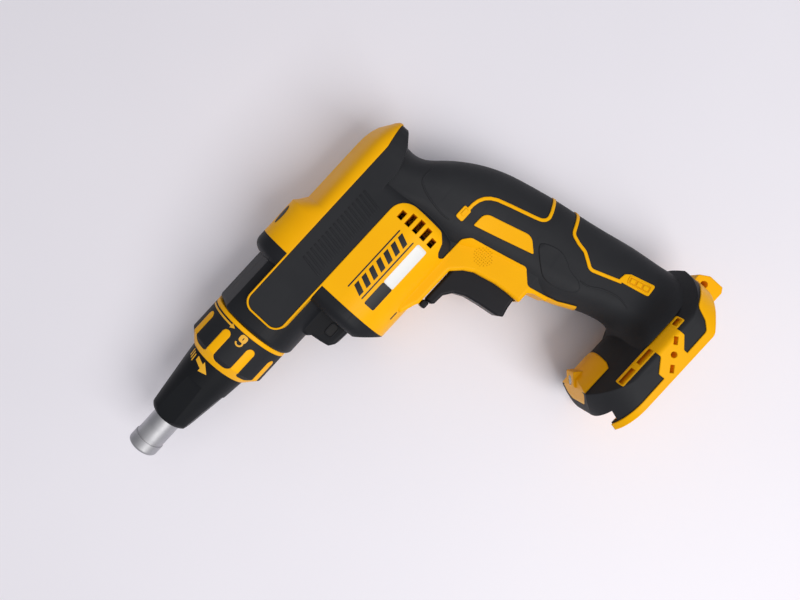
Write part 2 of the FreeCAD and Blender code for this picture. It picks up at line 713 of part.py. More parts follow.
def foot_vents():
    """Three slots in the foot's left side, through to the control module."""
    y = VENT_LINE_SHARE * BODY_DROP - VENT_HEIGHT / 2
    slots = []
    for left, right in VENT_LINE_SHARES:
        slots.append(block(X_SHELL + left * BODY_DEPTH, X_SHELL + right * BODY_DEPTH,
                           y, y + VENT_HEIGHT, MODULE_HALF - OVERRUN, FOOT_HALF + OVERRUN))
    return slots


def motor_vents():
    """Row of slots beside the fan, the outer ones shorter."""
    place = spot(MOTOR_VENT_SHARES)
    slots = []
    for index in range(VENTS):
        y = place.y + (index - (VENTS - 1) / 2) * VENT_PITCH
        start = place.x - VENT_LENGTH / 2
        slots.append(block(start, start + VENT_LENGTH * VENT_SPAN_SHARES[index], y - VENT_SLOT / 2,
                           y + VENT_SLOT / 2, MOTOR_BEARING_RADIUS + OVERRUN, BARREL_HALF + OVERRUN))
    return slots


def hook_cuts():
    """Belt hook's screw hole and locating slots in the left side of the foot."""
    place = spot(HOOK_PLACE_SHARES)
    top = FOOT_HALF + OVERRUN
    cuts = [Part.makeCylinder(HOOK_HOLE_RADIUS, HOOK_HOLE_DEPTH + OVERRUN,
                              V(place.x, place.y, FOOT_HALF - HOOK_HOLE_DEPTH))]
    for side in (-1, 1):
        x = place.x + side * HOOK_SLOT_REACH
        slot = block(x - HOOK_SLOT_LENGTH / 2, x + HOOK_SLOT_LENGTH / 2,
                     place.y - HOOK_SLOT_WIDTH / 2, place.y + HOOK_SLOT_WIDTH / 2,
                     FOOT_HALF - HOOK_SLOT_DEPTH, top)
        cuts.append(slot.rotated(place, V(0, 0, 1), HOOK_TURN))
    return cuts


def battery_bay():
    """Slot under the foot for a slide-on battery, with a lip on each side."""
    front = X_SHELL + BODY_DEPTH * BAY_PLACE_SHARE - OVERRUN
    end = front + OVERRUN + BAY_LENGTH
    low = -BODY_DROP - OVERRUN
    wide = block(front, end, RAIL_HEIGHT - BODY_DROP, BAY_TOP, -BAY_HALF, BAY_HALF)
    mouth = block(front, end, low, BAY_TOP, RAIL_LIP - BAY_HALF, BAY_HALF - RAIL_LIP)
    return wide.fuse(mouth)


def lens_frame():
    """Middle of the lamp hood's front face, and the way it looks."""
    low = spot(HOOD_SHARES[0])
    high = spot(HOOD_SHARES[1])
    along = (high - low).normalize()
    return (low + high) / 2, V(-along.y, along.x, 0)


def lamp_disc(start, end, fit=0):
    """Disc of the lamp between two depths behind the hood's face."""
    middle, out = lens_frame()
    return Part.makeCylinder(LENS_RADIUS + fit, end - start, middle - out * end, out)


def module_box(fit=0):
    """Control module above the battery bay."""
    x = X_SHELL + MODULE_PLACE_SHARE * BODY_DEPTH
    low = BAY_TOP + BAY_ROOF
    half = MODULE_HALF + fit
    return block(x - fit, x + MODULE_LENGTH + fit, low - fit, low + MODULE_HEIGHT + fit, -half, half)


def switch_box(fit=0):
    """Body of the trigger switch."""
    place = spot(SWITCH_PLACE_SHARES)
    half = SWITCH_HALF + fit
    return block(place.x - fit, place.x + SWITCH_LENGTH + fit, place.y - SWITCH_HEIGHT - fit,
                 place.y + fit, -half, half)


def trigger_slot():
    """Slot that the trigger slides in, open to the front."""
    front = spot(FRAME_SHARES[0]).x
    half = TRIGGER_HALF + MOVE_GAP
    return block(front, spot(SWITCH_PLACE_SHARES).x + SEAT_FIT, SLOT_BOTTOM_SHARE * BODY_DROP,
                 SLOT_TOP_SHARE * BODY_DROP, -half, half)


def lever_slot():
    """Slot that the reversing lever's stem slides in."""
    place = spot(LEVER_PLACE_SHARES)
    half = LEVER_STEM_HALF + LEVER_TRAVEL + MOVE_GAP
    inset = (LEVER_LENGTH - LEVER_STEM_LENGTH) / 2
    return block(place.x + inset - LEVER_GAP, place.x + LEVER_LENGTH - inset + LEVER_GAP,
                 place.y - OVERRUN, place.y + LEVER_STEM_HEIGHT + LEVER_GAP, -half, half)


def lead_wire(index):
    """One lead from the control module up the slanted handle to the switch."""
    switch = spot(SWITCH_PLACE_SHARES)
    low = BAY_TOP + BAY_ROOF + MODULE_HEIGHT
    high = switch.y - SWITCH_HEIGHT
    z = (index - (LEADS - 1) / 2) * LEAD_PITCH
    top = V(switch.x + SWITCH_LENGTH * LEAD_TOP_SHARE, high, z)
    foot = V(X_SHELL + MODULE_PLACE_SHARE * BODY_DEPTH + MODULE_LENGTH * LEAD_FOOT_SHARE, low, z)
    way = (top - foot).normalize()
    start = foot - way * OVERRUN
    wire = Part.makeCylinder(LEAD_RADIUS, (top - foot).Length + 2 * OVERRUN, start, way)
    return wire.common(block(X_SHELL, X_SHELL + BODY_DEPTH, low, high, -FOOT_HALF, FOOT_HALF))


def inside_cuts():
    """Everything that the housing is hollow for, on both sides alike."""
    cuts = [Part.Face(barrel_wire(X_SHELL, PLATE_INSET - SEAT_FIT)).extrude(V(PLATE_THICK, 0, 0))]
    cuts.append(rod(X_PLATE_END - SEAT_FIT, X_MOTOR_END, STATOR_RADIUS + SEAT_FIT, MOTOR_DROP))
    cuts.append(rod(X_MOTOR_END - SEAT_FIT, X_SHAFT_END, MOTOR_BEARING_RADIUS + SEAT_FIT, MOTOR_DROP))
    along, tall, wide = CAVITY_SHARES
    cuts.append(block(X_SHELL + along[0] * BODY_DEPTH, X_SHELL + along[1] * BODY_DEPTH,
                      tall[0] * BODY_DROP, tall[1] * BODY_DROP,
                      -wide * BARREL_HALF, wide * BARREL_HALF))
    cuts += [trigger_slot(), switch_box(SEAT_FIT), lever_slot(), battery_bay(), module_box(SEAT_FIT)]
    cuts.append(lamp_disc(-OVERRUN, LENS_THICK + LAMP_BOARD_THICK + SEAT_FIT, SEAT_FIT))
    cuts += [case_screw(place, SEAT_FIT) for place in CASE_SCREW_SHARES]
    cuts.append(handle_hollow())
    return cuts


def handle_hollow():
    """Hollow of the handle below the switch, with screw posts left standing."""
    high = spot(SWITCH_PLACE_SHARES).y - SWITCH_HEIGHT
    low = BAY_TOP + BAY_ROOF + MODULE_HEIGHT
    half = BARREL_HALF * CAVITY_SHARES[2]
    room = block(X_SHELL, X_SHELL + 2 * BODY_DEPTH, low, high, -half, half)
    places = [spot(SCREW_SHARES[index]) for index in BOSSED_SCREWS]
    posts = [Part.makeCylinder(SCREW_BOSS_RADIUS, 2 * FOOT_HALF, place - V(0, 0, FOOT_HALF))
             for place in places]
    return handle_form(HANDLE_WALL).common(room).cut(posts)


def housing_screw(share, fit=0):
    """Screw that draws the halves together, put in from the right."""
    place = spot(share)
    seat = place - V(0, 0, SCREW_HALF_LENGTH)
    shank = Part.makeCylinder(SCREW_SHANK_RADIUS + fit, 2 * SCREW_HALF_LENGTH, seat)
    head = Part.makeCylinder(SCREW_HEAD_RADIUS + fit, SCREW_HEAD_HEIGHT, seat - V(0, 0, SCREW_HEAD_HEIGHT))
    return shank.fuse(head).removeSplitter()


def screw_well(share):
    """Hole in the right half down to a screw's seat."""
    seat = spot(share) - V(0, 0, SCREW_HALF_LENGTH)
    depth = FOOT_HALF + OVERRUN
    return Part.makeCylinder(SCREW_HEAD_RADIUS + MOVE_GAP, depth, seat - V(0, 0, depth))


def case_screw(share, fit=0):
    """Screw through the bearing plate into the gear case."""
    y = BARREL_TOP * share[0]
    z = BARREL_HALF * share[1]
    start = V(X_SHELL - CASE_SCREW_DEPTH, y, z)
    shank = Part.makeCylinder(CASE_SCREW_RADIUS + fit, CASE_SCREW_DEPTH + PLATE_THICK, start, V(1, 0, 0))
    head = Part.makeCylinder(CASE_SCREW_HEAD + fit, CASE_SCREW_HEAD_HEIGHT + fit, V(X_PLATE_END, y, z),
                             V(1, 0, 0))
    return shank.fuse(head).removeSplitter()


def lug_solid():
    """Tether lug behind the foot, with its hole."""
    body = slab(outline(LUG_SHARES, SMALL_CORNER), -LUG_HALF, LUG_HALF)
    hole = Part.makeCylinder(LUG_HOLE_RADIUS, 2 * LUG_HALF + 2 * OVERRUN,
                             spot(LUG_HOLE_SHARES) - V(0, 0, LUG_HALF + OVERRUN))
    return body.cut(hole)


def housing_parts():
    """Both housing halves and both soft grips."""
    outer = housing_form(0)
    skin = housing_form(GRIP_SUNK)
    core = housing_form(GRIP_SUNK + GRIP_THICK)
    area = grip_prism()
    left_side = block(-BODY_DEPTH, 3 * BODY_DEPTH, -2 * BODY_DROP, BODY_DROP, 0, BODY_DEPTH)
    holes = motor_vents() + foot_vents() + hook_cuts()
    grip = skin.common(area).cut([core, battery_bay()])
    hood = slab(outline(HOOD_SHARES, SMALL_CORNER), -HOOD_HALF, HOOD_HALF)
    half = outer.common(left_side).cut(area.cut(core))
    half = joined([half, hood.common(left_side), lug_solid().common(left_side)])
    half = half.cut(inside_cuts() + holes)
    screws = [housing_screw(share, SEAT_FIT) for share in SCREW_SHARES]
    wells = [screw_well(share) for share in SCREW_SHARES]
    right = mirrored(half).cut(screws + wells)
    right_grip = mirrored(grip).cut(screws + wells)
    return {"left_housing": half.cut(screws), "right_housing": right,
            "left_grip": grip, "right_grip": right_grip}


def case_body(fit=0):
    """Outside of the gear case ahead of the housing, with three facets on top, without its spigot."""
    radius = CASE_RADIUS + fit
    corners = [(1, 1), (-1, 1), (-1, -1), (1, -1)]
    edges = []
    for index, corner in enumerate(corners):
        after = corners[(index + 1) % 4]
        before = corners[index - 1]
        start = V(X_CASE, (corner[0] + before[0]) / 2 * radius, (corner[1] + before[1]) / 2 * radius)
        end = V(X_CASE, (corner[0] + after[0]) / 2 * radius, (corner[1] + after[1]) / 2 * radius)
        turn = V(X_CASE, corner[0] * radius, corner[1] * radius)
        edges.append(quarter(start, turn, end, CASE_SQUARE_SHARE))
    body = Part.Face(Part.Wire(edges)).extrude(V(CASE_SHOWN, 0, 0))
    start = X_CASE - OVERRUN
    end = X_SHELL + OVERRUN
    facet = block(start, end, CASE_FACET_OUT + fit, 2 * CASE_RADIUS, -CASE_RADIUS, CASE_RADIUS)
    top = block(start, end, CASE_TOP + fit, 2 * CASE_RADIUS, -CASE_RADIUS, CASE_RADIUS)
    body = body.cut([top, about(facet, CASE_FACET_TURN), about(facet, -CASE_FACET_TURN)])
    rims = [edge for edge in body.Edges if edge.BoundBox.XMax < X_CASE + SEAT_FIT]
    return body.makeFillet(CASE_ROUND, rims)


def case_flange():
    """Rear flange of the gear case, flush with the barrel and sloped up in front at its foot."""
    front = X_SHELL - CASE_FLANGE
    flange = barrel_prism(front, X_SHELL, 0)
    rims = [edge for edge in flange.Edges if edge.BoundBox.XMax < front + SEAT_FIT]
    flange = flange.makeFillet(CASE_FLANGE_ROUND, rims)
    low = -MOTOR_DROP - BARREL_HALF
    slope = polygon([V(front, low + CASE_FLANGE_RISE, 0), V(X_SHELL, low, 0), V(front, low, 0)])
    return flange.cut(slab(slope, -BODY_DEPTH, BODY_DEPTH))


def case_boss():
    """Boss under the gear case."""
    boss = slab(outline(CASE_BOSS_SHARES), -CASE_BOSS_HALF, CASE_BOSS_HALF)
    rims = [edge for edge in boss.Edges if edge.BoundBox.ZLength < SEAT_FIT]
    return boss.makeFillet(CASE_BOSS_ROUND, rims)


def gear_case():
    """Gear case with its spigot, bores and gear room."""
    spigot = rod(X_SPIGOT, X_CASE + CASE_ROUND * 2, SPIGOT_RADIUS)
    solid = joined([case_body(), case_flange(), case_boss(), spigot])
    gear_tip = GEAR_MODULE * (GEAR_TEETH / 2 + WHEEL_TIP_SHARE)
    pinion_tip = GEAR_MODULE * (PINION_TEETH / 2 + 1)
    cuts = [rod(X_SPIGOT - OVERRUN, X_BEARING + BEARING_WIDTH, BEARING_RADIUS + SEAT_FIT)]
    cuts.append(rod(X_SPIGOT, X_SHELL, SPINDLE_RADIUS + MOVE_GAP))
    cuts.append(rod(X_CLUTCH - CLUTCH_FLANGE - MOVE_GAP, X_SHELL + OVERRUN, CLUTCH_RADIUS + GEAR_CASE_GAP))
    cuts.append(rod(X_GEAR - MOVE_GAP, X_SHELL + OVERRUN, gear_tip + GEAR_CASE_GAP))
    cuts.append(rod(X_GEAR - MOVE_GAP - GEAR_CASE_GAP, X_SHELL + OVERRUN, pinion_tip + GEAR_CASE_GAP,
                    MOTOR_DROP))
    cuts += [case_screw(place, SEAT_FIT) for place in CASE_SCREW_SHARES]
    return solid.cut(cuts + [tongue_form(0)])


def nosepiece():
    """Metal tube with a fatter lip, a rounded mouth and a stepped bore."""
    end = TIP_SHOWN + TIP_SEAT
    room = HOLDER_RADIUS + GEAR_CASE_GAP
    solid = rod(0, TIP_LIP, TIP_RADIUS).fuse(rod(0, end, TIP_TUBE_RADIUS)).removeSplitter()
    rims = [edge for edge in solid.Edges if edge.BoundBox.XMax < SEAT_FIT]
    solid = solid.makeFillet(TIP_ROUND, rims)
    return solid.cut([rod(-OVERRUN, end, TIP_BORE_RADIUS), rod(TIP_MOUTH, end + OVERRUN, room)])


def nose_cone():
    """Cone with a domed front, four finger flats and a skirt behind."""
    dome = X_CONE + CONE_DOME
    end = X_COLLAR + SKIRT_LENGTH
    front = V(X_CONE, TIP_TUBE_RADIUS, 0)
    edges = [quarter(front, V(X_CONE, CONE_FRONT_RADIUS, 0), V(dome, CONE_FRONT_RADIUS, 0))]
    edges.append(line(V(dome, CONE_FRONT_RADIUS, 0), V(X_COLLAR, CONE_REAR_RADIUS, 0)))
    edges.append(line(V(X_COLLAR, CONE_REAR_RADIUS, 0), V(end, CONE_REAR_RADIUS, 0)))
    edges.append(line(V(end, CONE_REAR_RADIUS, 0), V(end, 0, 0)))
    edges.append(line(V(end, 0, 0), V(X_CONE, 0, 0)))
    edges.append(line(V(X_CONE, 0, 0), front))
    solid = Part.Face(Part.Wire(edges)).revolve(V(0, 0, 0), V(1, 0, 0), 360)
    slope = (CONE_REAR_RADIUS - CONE_FRONT_RADIUS) / (X_COLLAR - dome)
    far = dome + CONE_FLAT_LENGTH
    high = 2 * CONE_REAR_RADIUS
    low = CONE_FRONT_RADIUS - CONE_FLAT_DEPTH
    rear = CONE_FRONT_RADIUS + slope * CONE_FLAT_LENGTH - CONE_FLAT_STEP
    wedge = polygon([V(X_CONE, low, 0), V(far, rear, 0), V(far, high, 0), V(X_CONE, high, 0)])
    wedge = slab(wedge, -CONE_REAR_RADIUS, CONE_REAR_RADIUS)
    solid = solid.cut(ring_of(wedge, CONE_FLATS))
    seat = TIP_SHOWN + TIP_SEAT
    bores = [rod(X_CONE - OVERRUN, seat, TIP_TUBE_RADIUS), rod(seat, X_COLLAR, HOLDER_RADIUS + GEAR_CASE_GAP)]
    bores.append(rod(X_COLLAR - MOVE_GAP, end + OVERRUN, SKIRT_BORE))
    return solid.cut(bores)


def collar_envelope(sink):
    """Outside of the depth collar, or the same form sunk by the grip's thickness."""
    end = X_COLLAR + COLLAR_LENGTH
    front = COLLAR_BORE + MOVE_GAP
    return turned([(X_COLLAR, 0), (X_COLLAR, front), (X_COLLAR + COLLAR_SLOPE, COLLAR_RADIUS - sink),
                   (end, COLLAR_RADIUS - sink), (end, 0)])


def collar_parts():
    """Yellow sleeve with round-tipped fingers, and the black grip between them."""
    end = X_COLLAR + COLLAR_LENGTH
    rear = end - COLLAR_REAR_RIM
    start = X_COLLAR + COLLAR_FRONT_RIM
    bores = [rod(X_COLLAR - OVERRUN, end - COLLAR_FLANGE, COLLAR_BORE),
             rod(X_COLLAR, end + OVERRUN, SPIGOT_RADIUS + RUN_FIT)]
    whole = collar_envelope(0).cut(bores)
    coat = collar_envelope(0).cut(collar_envelope(COLLAR_COAT))
    pitch = 2 * math.pi * COLLAR_RADIUS / COLLAR_FINGERS
    half = (pitch - FINGER_WIDTH) / 2
    points = [V(start, -half, 0), V(rear, -half, 0), V(rear, half, 0), V(start, half, 0)]
    bay = rounded(points, [BAY_ROUND, SMALL_CORNER, SMALL_CORNER, BAY_ROUND])
    bay = slab(bay, COLLAR_BORE, 2 * COLLAR_RADIUS)
    bays = ring_of(about(bay, FINGER_TURN), COLLAR_FINGERS)
    tip = COLLAR_RADIUS * math.sin(math.pi / COLLAR_FINGERS - math.asin(half / COLLAR_RADIUS))
    place = start + FINGER_LENGTH - tip
    band = tube(place, rear, 2 * COLLAR_RADIUS, COLLAR_BORE)
    round_tip = Part.makeCylinder(tip, 2 * COLLAR_RADIUS, V(place, 0, 0))
    tips = ring_of(about(round_tip, FINGER_TURN + 180 / COLLAR_FINGERS), COLLAR_FINGERS)
    grip = coat.common(joined(bays + [band]).cut(tips))
    return {"collar_core": whole.cut(grip), "collar_grip": grip}


def clutch_teeth(x, start):
    """Three blocks on a clutch face."""
    low = SPRING_RADIUS + 2 * MOVE_GAP
    ring = tube(x, x + CLUTCH_TOOTH_HEIGHT, CLUTCH_RADIUS, low)
    reach = 2 * CLUTCH_RADIUS
    half = math.radians(CLUTCH_TOOTH_TURN / 2)
    wedge = polygon([V(x, 0, 0), V(x, reach, -reach * math.tan(half)), V(x, reach, reach * math.tan(half))])
    wedge = wedge.extrude(V(CLUTCH_TOOTH_HEIGHT, 0, 0))
    return [ring.common(piece) for piece in ring_of(about(wedge, start), CLUTCH_TEETH)]


def spindle():
    """Shaft with a socket in front, a clutch flange and a rear stub."""
    flange = X_CLUTCH - CLUTCH_FLANGE
    stub = X_GEAR + GEAR_WIDTH
    body = [rod(X_SPINDLE, X_CLUTCH, SPINDLE_RADIUS), rod(flange, X_CLUTCH, CLUTCH_RADIUS),
            rod(flange, stub, STUB_RADIUS)]
    solid = joined(body + clutch_teeth(X_CLUTCH, 0))
    return solid.cut(rod(X_SPINDLE - OVERRUN, X_SPINDLE + HOLDER_SHANK, HOLDER_SHANK_RADIUS))


def hex_prism(x0, x1, across):
    """Six-sided bar along the spindle line."""
    radius = across / math.sqrt(3)
    points = [V(x0, radius * math.cos(math.pi * side / 3), radius * math.sin(math.pi * side / 3))
              for side in range(6)]
    return polygon(points).extrude(V(x1 - x0, 0, 0))


def bit_holder():
    """Round holder with a hexagon socket and a shank in the spindle."""
    body = joined([rod(X_HOLDER, X_SPINDLE, HOLDER_RADIUS),
                   rod(X_HOLDER, X_SPINDLE + HOLDER_SHANK, HOLDER_SHANK_RADIUS)])
    rims = [edge for edge in body.Edges if edge.BoundBox.XMax < X_HOLDER + SEAT_FIT]
    body = body.makeChamfer(SMALL_CORNER, rims)
    magnet = rod(X_HOLDER + HEX_DEPTH, X_HOLDER + HEX_DEPTH + MAGNET_LENGTH, MAGNET_RADIUS)
    return body.cut([hex_prism(X_HOLDER - OVERRUN, X_HOLDER + HEX_DEPTH, HEX_ACROSS), magnet])


def drive_gear():
    """Spur gear with clutch teeth in front and a hub behind."""
    blank = gear_prism(GEAR_TEETH, WHEEL_TIP_SHARE, WHEEL_ROOT_SHARE, X_GEAR, GEAR_WIDTH, 0, 180)
    end = X_PLATE_END - MOVE_GAP
    hub = rod(X_GEAR, end, GEAR_HUB_RADIUS)
    front = X_GEAR - CLUTCH_TOOTH_HEIGHT
    teeth = clutch_teeth(front, 180 / CLUTCH_TEETH)
    solid = joined([blank, hub] + teeth)
    reach = X_GEAR + GEAR_WIDTH + SPINDLE_TRAVEL + MOVE_GAP
    return solid.cut([rod(front - OVERRUN, reach, STUB_RADIUS + RUN_FIT),
                      rod(front - OVERRUN, X_GEAR + SPRING_POCKET, SPRING_RADIUS + MOVE_GAP)])


def spindle_parts():
    """Spindle line: spindle, holder, magnet, bearing, seal, spring and drive gear."""
    inner = SPINDLE_RADIUS + RUN_FIT
    end = X_BEARING + BEARING_WIDTH
    ring = BEARING_RADIUS - BEARING_RING
    middle = (inner + BEARING_RING + ring) / 2
    ball = Part.makeSphere(BALL_RADIUS, V((X_BEARING + end) / 2, middle, 0))
    holder_end = X_HOLDER + HEX_DEPTH
    return {"spindle": spindle(), "bit_holder": bit_holder(), "drive_gear": drive_gear(),
            "bit_magnet": rod(holder_end, holder_end + MAGNET_LENGTH, MAGNET_RADIUS),
            "bearing_inner_ring": tube(X_BEARING, end, inner + BEARING_RING, inner),
            "bearing_outer_ring": tube(X_BEARING, end, BEARING_RADIUS, ring),
            "bearing_balls": Part.makeCompound(ring_of(ball, BALLS)),
            "spindle_seal": tube(X_SPIGOT, X_BEARING, BEARING_RADIUS, SPINDLE_RADIUS + MOVE_GAP),
            "clutch_spring": tube(X_CLUTCH, X_GEAR + SPRING_POCKET, SPRING_RADIUS,
                                  SPRING_RADIUS - SPRING_WIRE)}


def bearing_plate():
    """Plate between gear case and motor, bored for two bearings."""
    solid = Part.Face(barrel_wire(X_SHELL, PLATE_INSET)).extrude(V(PLATE_THICK, 0, 0))
    lip = X_SHELL + SMALL_CORNER
    cuts = [rod(lip, X_PLATE_END + OVERRUN, BEARING_RADIUS),
            rod(X_SHELL - OVERRUN, lip + SEAT_FIT, GEAR_HUB_RADIUS + GEAR_CASE_GAP),
            rod(lip, X_PLATE_END + OVERRUN, MOTOR_BEARING_RADIUS, MOTOR_DROP),
            rod(X_SHELL - OVERRUN, lip + SEAT_FIT, SHAFT_RADIUS + GEAR_CASE_GAP, MOTOR_DROP)]
    return solid.cut(cuts + [case_screw(place, SEAT_FIT) for place in CASE_SCREW_SHARES])


def stator_parts():
    """Stator core with inward teeth, and one coil round each tooth."""
    bore = ROTOR_RADIUS + ROTOR_GAP
    yoke = STATOR_RADIUS - STATOR_YOKE
    half = STATOR_TOOTH / 2
    ring = tube(X_STATOR, X_STATOR_END, STATOR_RADIUS, yoke, MOTOR_DROP)
    tooth = block(X_STATOR, X_STATOR_END, bore - MOTOR_DROP, yoke + STATOR_YOKE / 2 - MOTOR_DROP, -half, half)
    core = joined([ring] + ring_of(tooth, STATOR_TEETH, MOTOR_DROP))
    core = core.cut(rod(X_STATOR - OVERRUN, X_STATOR_END + OVERRUN, bore, MOTOR_DROP))
    wide = COIL_WIDTH / 2
    low = bore + MOVE_GAP - MOTOR_DROP
    high = math.sqrt(yoke ** 2 - wide ** 2) - MOVE_GAP - MOTOR_DROP
    coil = block(X_COIL, X_STATOR_END + COIL_OVERHANG, low, high, -wide, wide)
    upright = [edge for edge in coil.Edges if edge.BoundBox.YLength > MOVE_GAP]
    coil = coil.makeFillet(COIL_OVERHANG / 2, upright)
    coil = coil.cut(block(X_STATOR - SEAT_FIT, X_STATOR_END + SEAT_FIT, low - OVERRUN, high + OVERRUN,
                          -half - SEAT_FIT, half + SEAT_FIT))
    coils = Part.makeCompound(ring_of(coil, STATOR_TEETH, MOTOR_DROP))
    board = tube(X_PLATE_END, X_PLATE_END + SENSOR_THICK, SENSOR_RADIUS, MOTOR_BEARING_RADIUS, MOTOR_DROP)
    return {"stator_core": core, "stator_coils": coils, "sensor_board": board}


def cooling_fan():
    """Fan with straight blades on a disc and a hub."""
    end = X_FAN + FAN_WIDTH
    disc = rod(X_FAN, X_FAN + FAN_DISC, FAN_RADIUS, MOTOR_DROP)
    hub = rod(X_FAN, end, FAN_HUB_RADIUS, MOTOR_DROP)
    half = FAN_BLADE_THICK / 2
    blade = block(X_FAN, end, FAN_HUB_RADIUS / 2 - MOTOR_DROP, FAN_RADIUS - half - MOTOR_DROP, -half, half)
    solid = joined([disc, hub] + ring_of(blade, FAN_BLADES, MOTOR_DROP))
    return solid.cut(rod(X_FAN - OVERRUN, end + OVERRUN, SHAFT_RADIUS, MOTOR_DROP))


def motor_parts():
    """Rotor, fan, pinion and the motor's two bearings."""
    start = X_SHELL + SMALL_CORNER
    front = tube(start, start + MOTOR_BEARING_WIDTH, MOTOR_BEARING_RADIUS, SHAFT_RADIUS + RUN_FIT, MOTOR_DROP)
    rear = tube(X_MOTOR_END, X_SHAFT_END, MOTOR_BEARING_RADIUS, SHAFT_RADIUS + RUN_FIT, MOTOR_DROP)
    pinion = gear_prism(PINION_TEETH, PINION_TIP_SHARE, PINION_ROOT_SHARE, X_GEAR, GEAR_WIDTH, MOTOR_DROP,
                        180 / PINION_TEETH)
    parts = stator_parts()
    parts["front_motor_bearing"] = front
    parts["rear_motor_bearing"] = rear
    parts["rotor_shaft"] = rod(X_GEAR, X_SHAFT_END, SHAFT_RADIUS, MOTOR_DROP)
    parts["rotor_core"] = tube(X_STATOR, X_STATOR_END, ROTOR_RADIUS, SHAFT_RADIUS, MOTOR_DROP)
    parts["pinion"] = pinion.cut(rod(X_GEAR - OVERRUN, X_SHELL, SHAFT_RADIUS, MOTOR_DROP))
    parts["cooling_fan"] = cooling_fan()
    parts["gear_bearing"] = tube(start, X_PLATE_END, BEARING_RADIUS, GEAR_HUB_RADIUS + RUN_FIT)
    parts["bearing_plate"] = bearing_plate()
    return parts


def trigger_parts():
    """Trigger with its plunger, the switch and the reversing lever."""
    solid = slab(outline(TRIGGER_SHARES), -TRIGGER_HALF, TRIGGER_HALF)
    front = [edge for edge in solid.Edges
             if edge.BoundBox.ZLength < SEAT_FIT and edge.BoundBox.XMin < spot(TRIGGER_SHARES[9]).x
             and edge.BoundBox.YMax < spot(TRIGGER_SHARES[0]).y - SEAT_FIT]
    solid = solid.makeFillet(TRIGGER_ROUND, front)
    place = spot(SWITCH_PLACE_SHARES)
    y = place.y - SWITCH_HEIGHT / 2
    start = spot(TRIGGER_SHARES[10]).x
    plunger = rod(start, place.x + PLUNGER_REACH, PLUNGER_RADIUS, -y)
    hole = rod(place.x - OVERRUN, place.x + PLUNGER_REACH + TRIGGER_TRAVEL + MOVE_GAP,
               PLUNGER_RADIUS + RUN_FIT, -y)
    spot_lever = spot(LEVER_PLACE_SHARES)
    inset = (LEVER_LENGTH - LEVER_STEM_LENGTH) / 2
    top = spot_lever.y - LEVER_GAP
    bar = block(spot_lever.x, spot_lever.x + LEVER_LENGTH, top - LEVER_HEIGHT, top, -LEVER_HALF, LEVER_HALF)
    bar = bar.makeFillet(SMALL_CORNER, bar.Edges)
    stem = block(spot_lever.x + inset, spot_lever.x + LEVER_LENGTH - inset, top - LEVER_HEIGHT / 2,
                 spot_lever.y + LEVER_STEM_HEIGHT, -LEVER_STEM_HALF, LEVER_STEM_HALF)
    return {"trigger": solid, "switch_plunger": plunger, "switch_body": switch_box().cut(hole),
            "reverse_lever": joined([bar, stem])}


def electric_parts():
    """Control module, terminal block, contacts, leads and the lamp."""
    end = X_SHELL + BODY_DEPTH * BAY_PLACE_SHARE + BAY_LENGTH
    block_start = end - TERMINAL_LENGTH
    terminal = block(block_start, end, BAY_TOP - TERMINAL_HEIGHT, BAY_TOP, -TERMINAL_HALF, TERMINAL_HALF)
    blades = []
    for index in range(CONTACTS):
        z = (index - (CONTACTS - 1) / 2) * CONTACT_PITCH - CONTACT_THICK / 2
        blades.append(block(block_start - CONTACT_LENGTH, block_start, BAY_TOP - CONTACT_HEIGHT, BAY_TOP,
                            z, z + CONTACT_THICK))
    leads = [lead_wire(index) for index in range(LEADS)]
    return {"control_module": module_box(), "terminal_block": terminal,
            "battery_contacts": Part.makeCompound(blades), "motor_leads": Part.makeCompound(leads),
            "lamp_lens": lamp_disc(0, LENS_THICK),
            "lamp_board": lamp_disc(LENS_THICK, LENS_THICK + LAMP_BOARD_THICK)}


def fasteners():
    """Housing screws and gear case screws."""
    return {"housing_screws": Part.makeCompound([housing_screw(share) for share in SCREW_SHARES]),
            "gear_case_screws": Part.makeCompound([case_screw(share) for share in CASE_SCREW_SHARES])}


def all_parts():
    """Every piece by its node name."""
    parts = {"nosepiece": nosepiece(), "nose_cone": nose_cone(), "gear_case": gear_case()}
    parts.update(collar_parts())
    parts.update(spindle_parts())
    parts.update(motor_parts())
    parts.update(trigger_parts())
    parts.update(electric_parts())
    parts.update(fasteners())
    parts.update(housing_parts())
    return parts


os.makedirs("parts", exist_ok=True)
for name, shape in all_parts().items():
    shape.exportStep("parts/" + name + ".step")
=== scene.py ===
"""Looks of a cordless drywall screwgun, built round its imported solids.

The solids stay as they are. Each gets a finish, and the printed marks, ribs, plates,
soft pads and screw heads that ride on them are added here, with floor, light and camera.
"""

import enum
import logging
import math
from dataclasses import dataclass
from typing import Any, Callable, Mapping, Sequence

